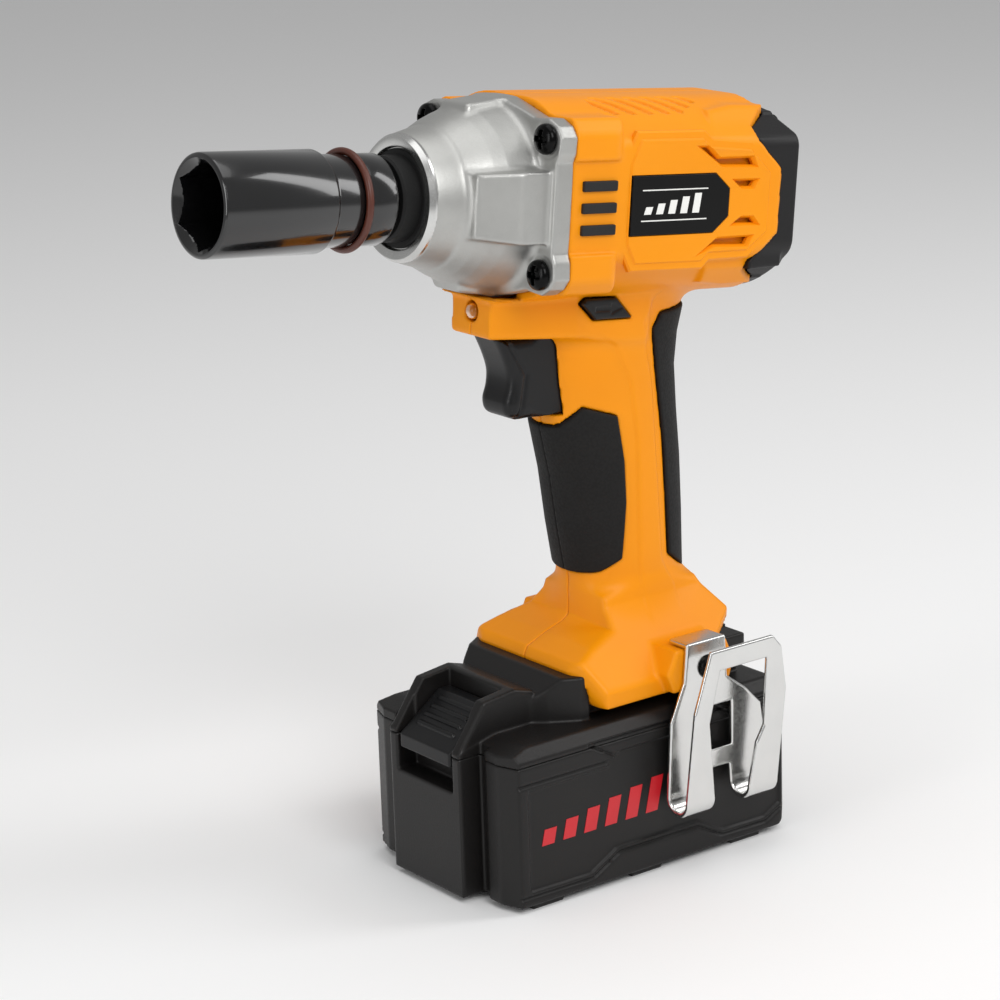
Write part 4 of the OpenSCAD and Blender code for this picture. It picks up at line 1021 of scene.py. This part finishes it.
def bottomField(x, y, z):
    # the block below the split, less its inside
    body = smoothMax(batteryBlock(x, y, z), z - cell["split"] + 0.08, 0.15)
    inner = smoothMax(smoothMax(outline(planShape, x, np.abs(y)) + 2.4, 2.4 - z, 0.5), x - 46.5, 0.5)
    body = smoothMax(body, -smoothMax(inner, rearChamfer(x, z) + 2.4, 0.5), 0.3)
    return smoothMax(body, -latchSpace(x, y, z), 0.6)


def topField(x, y, z):
    # the block above the split with its platform, collar and latch tower, less its inside
    ay = np.abs(y)
    lid = smoothMax(batteryBlock(x, y, z), z - cell["deck"], 0.4)
    lid = smoothMax(lid, 0.70 * (ay - 36.2) + 0.714 * (z - 47.6), 0.4)
    lid = smoothMax(lid, 0.25 * (x - 49) + 0.968 * (z - 49.6), 0.4)
    lid = smoothMax(lid, 0.6 * (-57.15 - x) + 0.8 * (z - 48), 1.0)
    tower = smoothMax(smoothMax(outline([(26, 40), (57.15, 40), (57.15, 47.5), (47, 61.5), (35, 63),
                                         (28, 61)], x, z), ay - 17.6, 1.4), x - 57.15, 1.0)
    collarPlan = outline([(14, -1), (14, 27), (17.5, 26.4), (26, 21), (30, 17.5), (30, -1)], x, ay)
    collar = smoothMax(smoothMax(collarPlan,
                                 outline([(14, 40), (31, 40), (30.5, 58), (22, 64.6), (14, 64.8)], x, z),
                                 1.0), ay - 27.5, 1)
    platform = np.minimum(block((x, -48, 17), (ay, -1, 22.6), (z, 49, 64.5), 0.6),
                          block((x, -48, 17), (ay, -1, 26.5), (z, 58.1, 64.5), 0.6))
    body = smoothMin(np.minimum(lid, platform), smoothMin(tower, collar, 0.8), 0.8)
    body = smoothMax(body, cell["split"] + 0.08 - z, 0.15)
    under = smoothMax(smoothMax(outline(planShape, x, ay) + 3.2, z - 48.6, 0.4), x - 34, 0.4)
    body = smoothMax(body, -under, 0.3)
    for c in (0, 12):
        body = smoothMax(body, -block((x, -60, -22), (ay, c - 1.3, c + 1.3), (z, 55.5, 62.6), 0.2), 0.3)
    body = smoothMax(body, -block((x, -60, -40.6), (ay, -1, 17.3), (z, 53, 70), 0.3), 0.3)
    return smoothMax(body, -latchSpace(x, y, z), 0.6)


fieldPiece("battery_tub", bottomField, (-58.5, -37.5, -1), (58.5, 37.5, 47), 0.74, "batteryShell",
           "battery", ("battery_bottom_case",))
fieldPiece("battery_lid", topField, (-58.5, -37.5, 45), (58.5, 37.5, 65.5), 0.6, "batteryShell",
           "battery", ("battery_top_case",))


def latchField(x, y, z):
    # the side outline carried sideways, with ribs
    ay = np.abs(y)
    side = outline([(56.9, 42.2), (56.9, 46.6), (42, 57.5), (38, 57.5), (38, 53.4), (45, 53.4),
                    (50.4, 50.2), (53.5, 42.2)], x, z)
    body = smoothMax(side, ay - 12.9, 1.0)
    # finger ribs across the slope
    along = (x - 42) * 0.807 - (z - 57.5) * 0.591
    rise = (x - 42) * 0.591 + (z - 57.5) * 0.807
    ribs = np.abs(np.mod(along - 1.2, 3.3) - 1.65) - 0.75
    rib = smoothMax(smoothMax(ribs, rise - 0.85, 0.5),
                    smoothMax(-rise - 1, smoothMax(span(along, 1.2, 14.4), ay - 9, 0.6), 0.3), 0.4)
    return smoothMin(body, rib, 0.4)


fieldPiece("latch_button", latchField, (36.5, -14, 41), (58.5, 14, 60), 0.4, "satinBlack", "latch",
           ("battery_latch",))
# generic charge mark on each side: slanted bars that grow towards the back
charge = dict(start=40.5, pitch=8.0, width=4.6, low=19.6, high=30.6, lean=2.6, face=cell["panel"],
              proud=0.14)
for side, word in ((1, "left"), (-1, "right")):
    bars = []
    for i in range(6):
        x0 = charge["start"] - charge["pitch"] * i
        top = charge["low"] + (charge["high"] - charge["low"]) * (0.45 + 0.11 * i)
        lean = charge["lean"] * (top - charge["low"]) / 11
        bars.append(mirrorSide(plateMesh([(x0, charge["low"]), (x0 - charge["width"], charge["low"]),
                                          (x0 - charge["width"] - lean, top), (x0 - lean, top)],
                                          charge["face"] - 0.3, charge["face"] + charge["proud"]), side))
    bars = mergeMeshes(bars)
    makePiece("charge_mark_" + word, bars[0], bars[1], "redPrint", "battery")
print("battery made")

# finishes of the CAD nodes that stay
nodeFinishes = {
    "nose_bush": "sinteredBronze", "anvil": "phosphateSteel", "anvil_washer": "groundSteel",
    "hammer": "phosphateSteel", "hammer_spring": "polishedSteel",
    "spindle": "groundSteel", "cam_balls": "polishedSteel", "planet_gear_1": "groundSteel",
    "planet_gear_2": "groundSteel", "planet_gear_3": "groundSteel",
    "planet_pins": "polishedSteel", "ring_gear": "groundSteel", "gear_case": "nylonHolder",
    "spindle_bearing": "polishedSteel", "stator_core": "laminations",
    "stator_windings": "enamelledCopper", "rotor_core": "laminations", "motor_shaft": "groundSteel",
    "cooling_fan": "nylonHolder", "motor_bearings": "polishedSteel",
    "sensor_board": "solderMask", "socket_pin": "groundSteel", "trigger_switch": "satinBlack",
    "trigger_spring": "polishedSteel", "control_board": "solderMask",
    "motor_leads": "siliconeLead", "terminal_block": "blackNylon", "contact_blades": "tinnedBrass",
    "hook_inserts": "sinteredBronze", "battery_cells": "cellWrap",
    "cell_holders": "nylonHolder", "cell_strips": "polishedSteel", "battery_contacts": "tinnedBrass",
    "latch_spring": "polishedSteel",
}
for name, finish in nodeFinishes.items():
    nodes[name].data.materials.clear()
    nodes[name].data.materials.append(materials[finish])
print("CAD nodes finished:", len(nodeFinishes))


# floor, light and camera
def addFloor():
    # an endless sheet of pale paper
    mesh = bpy.data.meshes.new("studio_floor")
    mesh.from_pydata([(-9, -9, 0), (9, -9, 0), (9, 9, 0), (-9, 9, 0)], [], [(0, 1, 2, 3)])
    floor = bpy.data.objects.new("studio_floor", mesh)
    bpy.context.scene.collection.objects.link(floor)
    paper = bpy.data.materials.new("palePaper")
    paper.use_nodes = True
    shader = paper.node_tree.nodes["Principled BSDF"]
    shader.inputs["Base Color"].default_value = (0.93, 0.93, 0.93, 1)
    shader.inputs["Roughness"].default_value = 0.9
    mesh.materials.append(paper)


def addSoftbox(name, place, target, size, power):
    # an area light turned towards its target
    light = bpy.data.lights.new(name, "AREA")
    light.shape = "RECTANGLE"
    light.size, light.size_y = size
    light.energy = power
    lamp = bpy.data.objects.new(name, light)
    bpy.context.scene.collection.objects.link(lamp)
    lamp.location = place
    direction = np.array(target) - np.array(place)
    lamp.rotation_euler = Vector(direction).to_track_quat("-Z", "Y").to_euler()


addFloor()
softboxes = [
    ("keyLight", (0.25, 1.1, 1.0), (0.0, 0.0, 0.12), (0.7, 0.7), 8.2),
    ("frontLight", (1.4, 0.15, 0.55), (0.0, 0.0, 0.13), (0.35, 0.9), 4),
    ("rimLight", (-0.9, 0.5, 0.8), (0.0, 0.0, 0.15), (0.3, 1.0), 4),
    ("topLight", (0.0, 0.0, 1.5), (0.0, 0.0, 0.0), (1.2, 1.2), 6),
]
for light in softboxes:
    addSoftbox(*light)
world = bpy.data.worlds.new("studio")
world.use_nodes = True
world.node_tree.nodes["Background"].inputs[0].default_value = (1, 1, 1, 1)
world.node_tree.nodes["Background"].inputs[1].default_value = 0.38
bpy.context.scene.world = world
bpy.context.scene.view_settings.view_transform = "Standard"

# camera: right, up and back directions in the row frame, place in mm and focal length for a 36 mm sensor
view = dict(right=(-0.79652, 0.60374, -0.03249), up=(-0.19044, -0.19952, 0.96121),
            back=(0.57384, 0.77181, 0.27389), place=(569.59, 731.87, 376.13), lens=113.73)
camera = bpy.data.objects.new("camera", bpy.data.cameras.new("camera"))
camera.data.lens = view["lens"]
camera.data.sensor_width = 36
bpy.context.scene.collection.objects.link(camera)
camera.matrix_world = Matrix([[view["right"][i], view["up"][i], view["back"][i], view["place"][i] / 1000]
                              for i in range(3)] + [[0, 0, 0, 1]])
bpy.context.scene.camera = camera
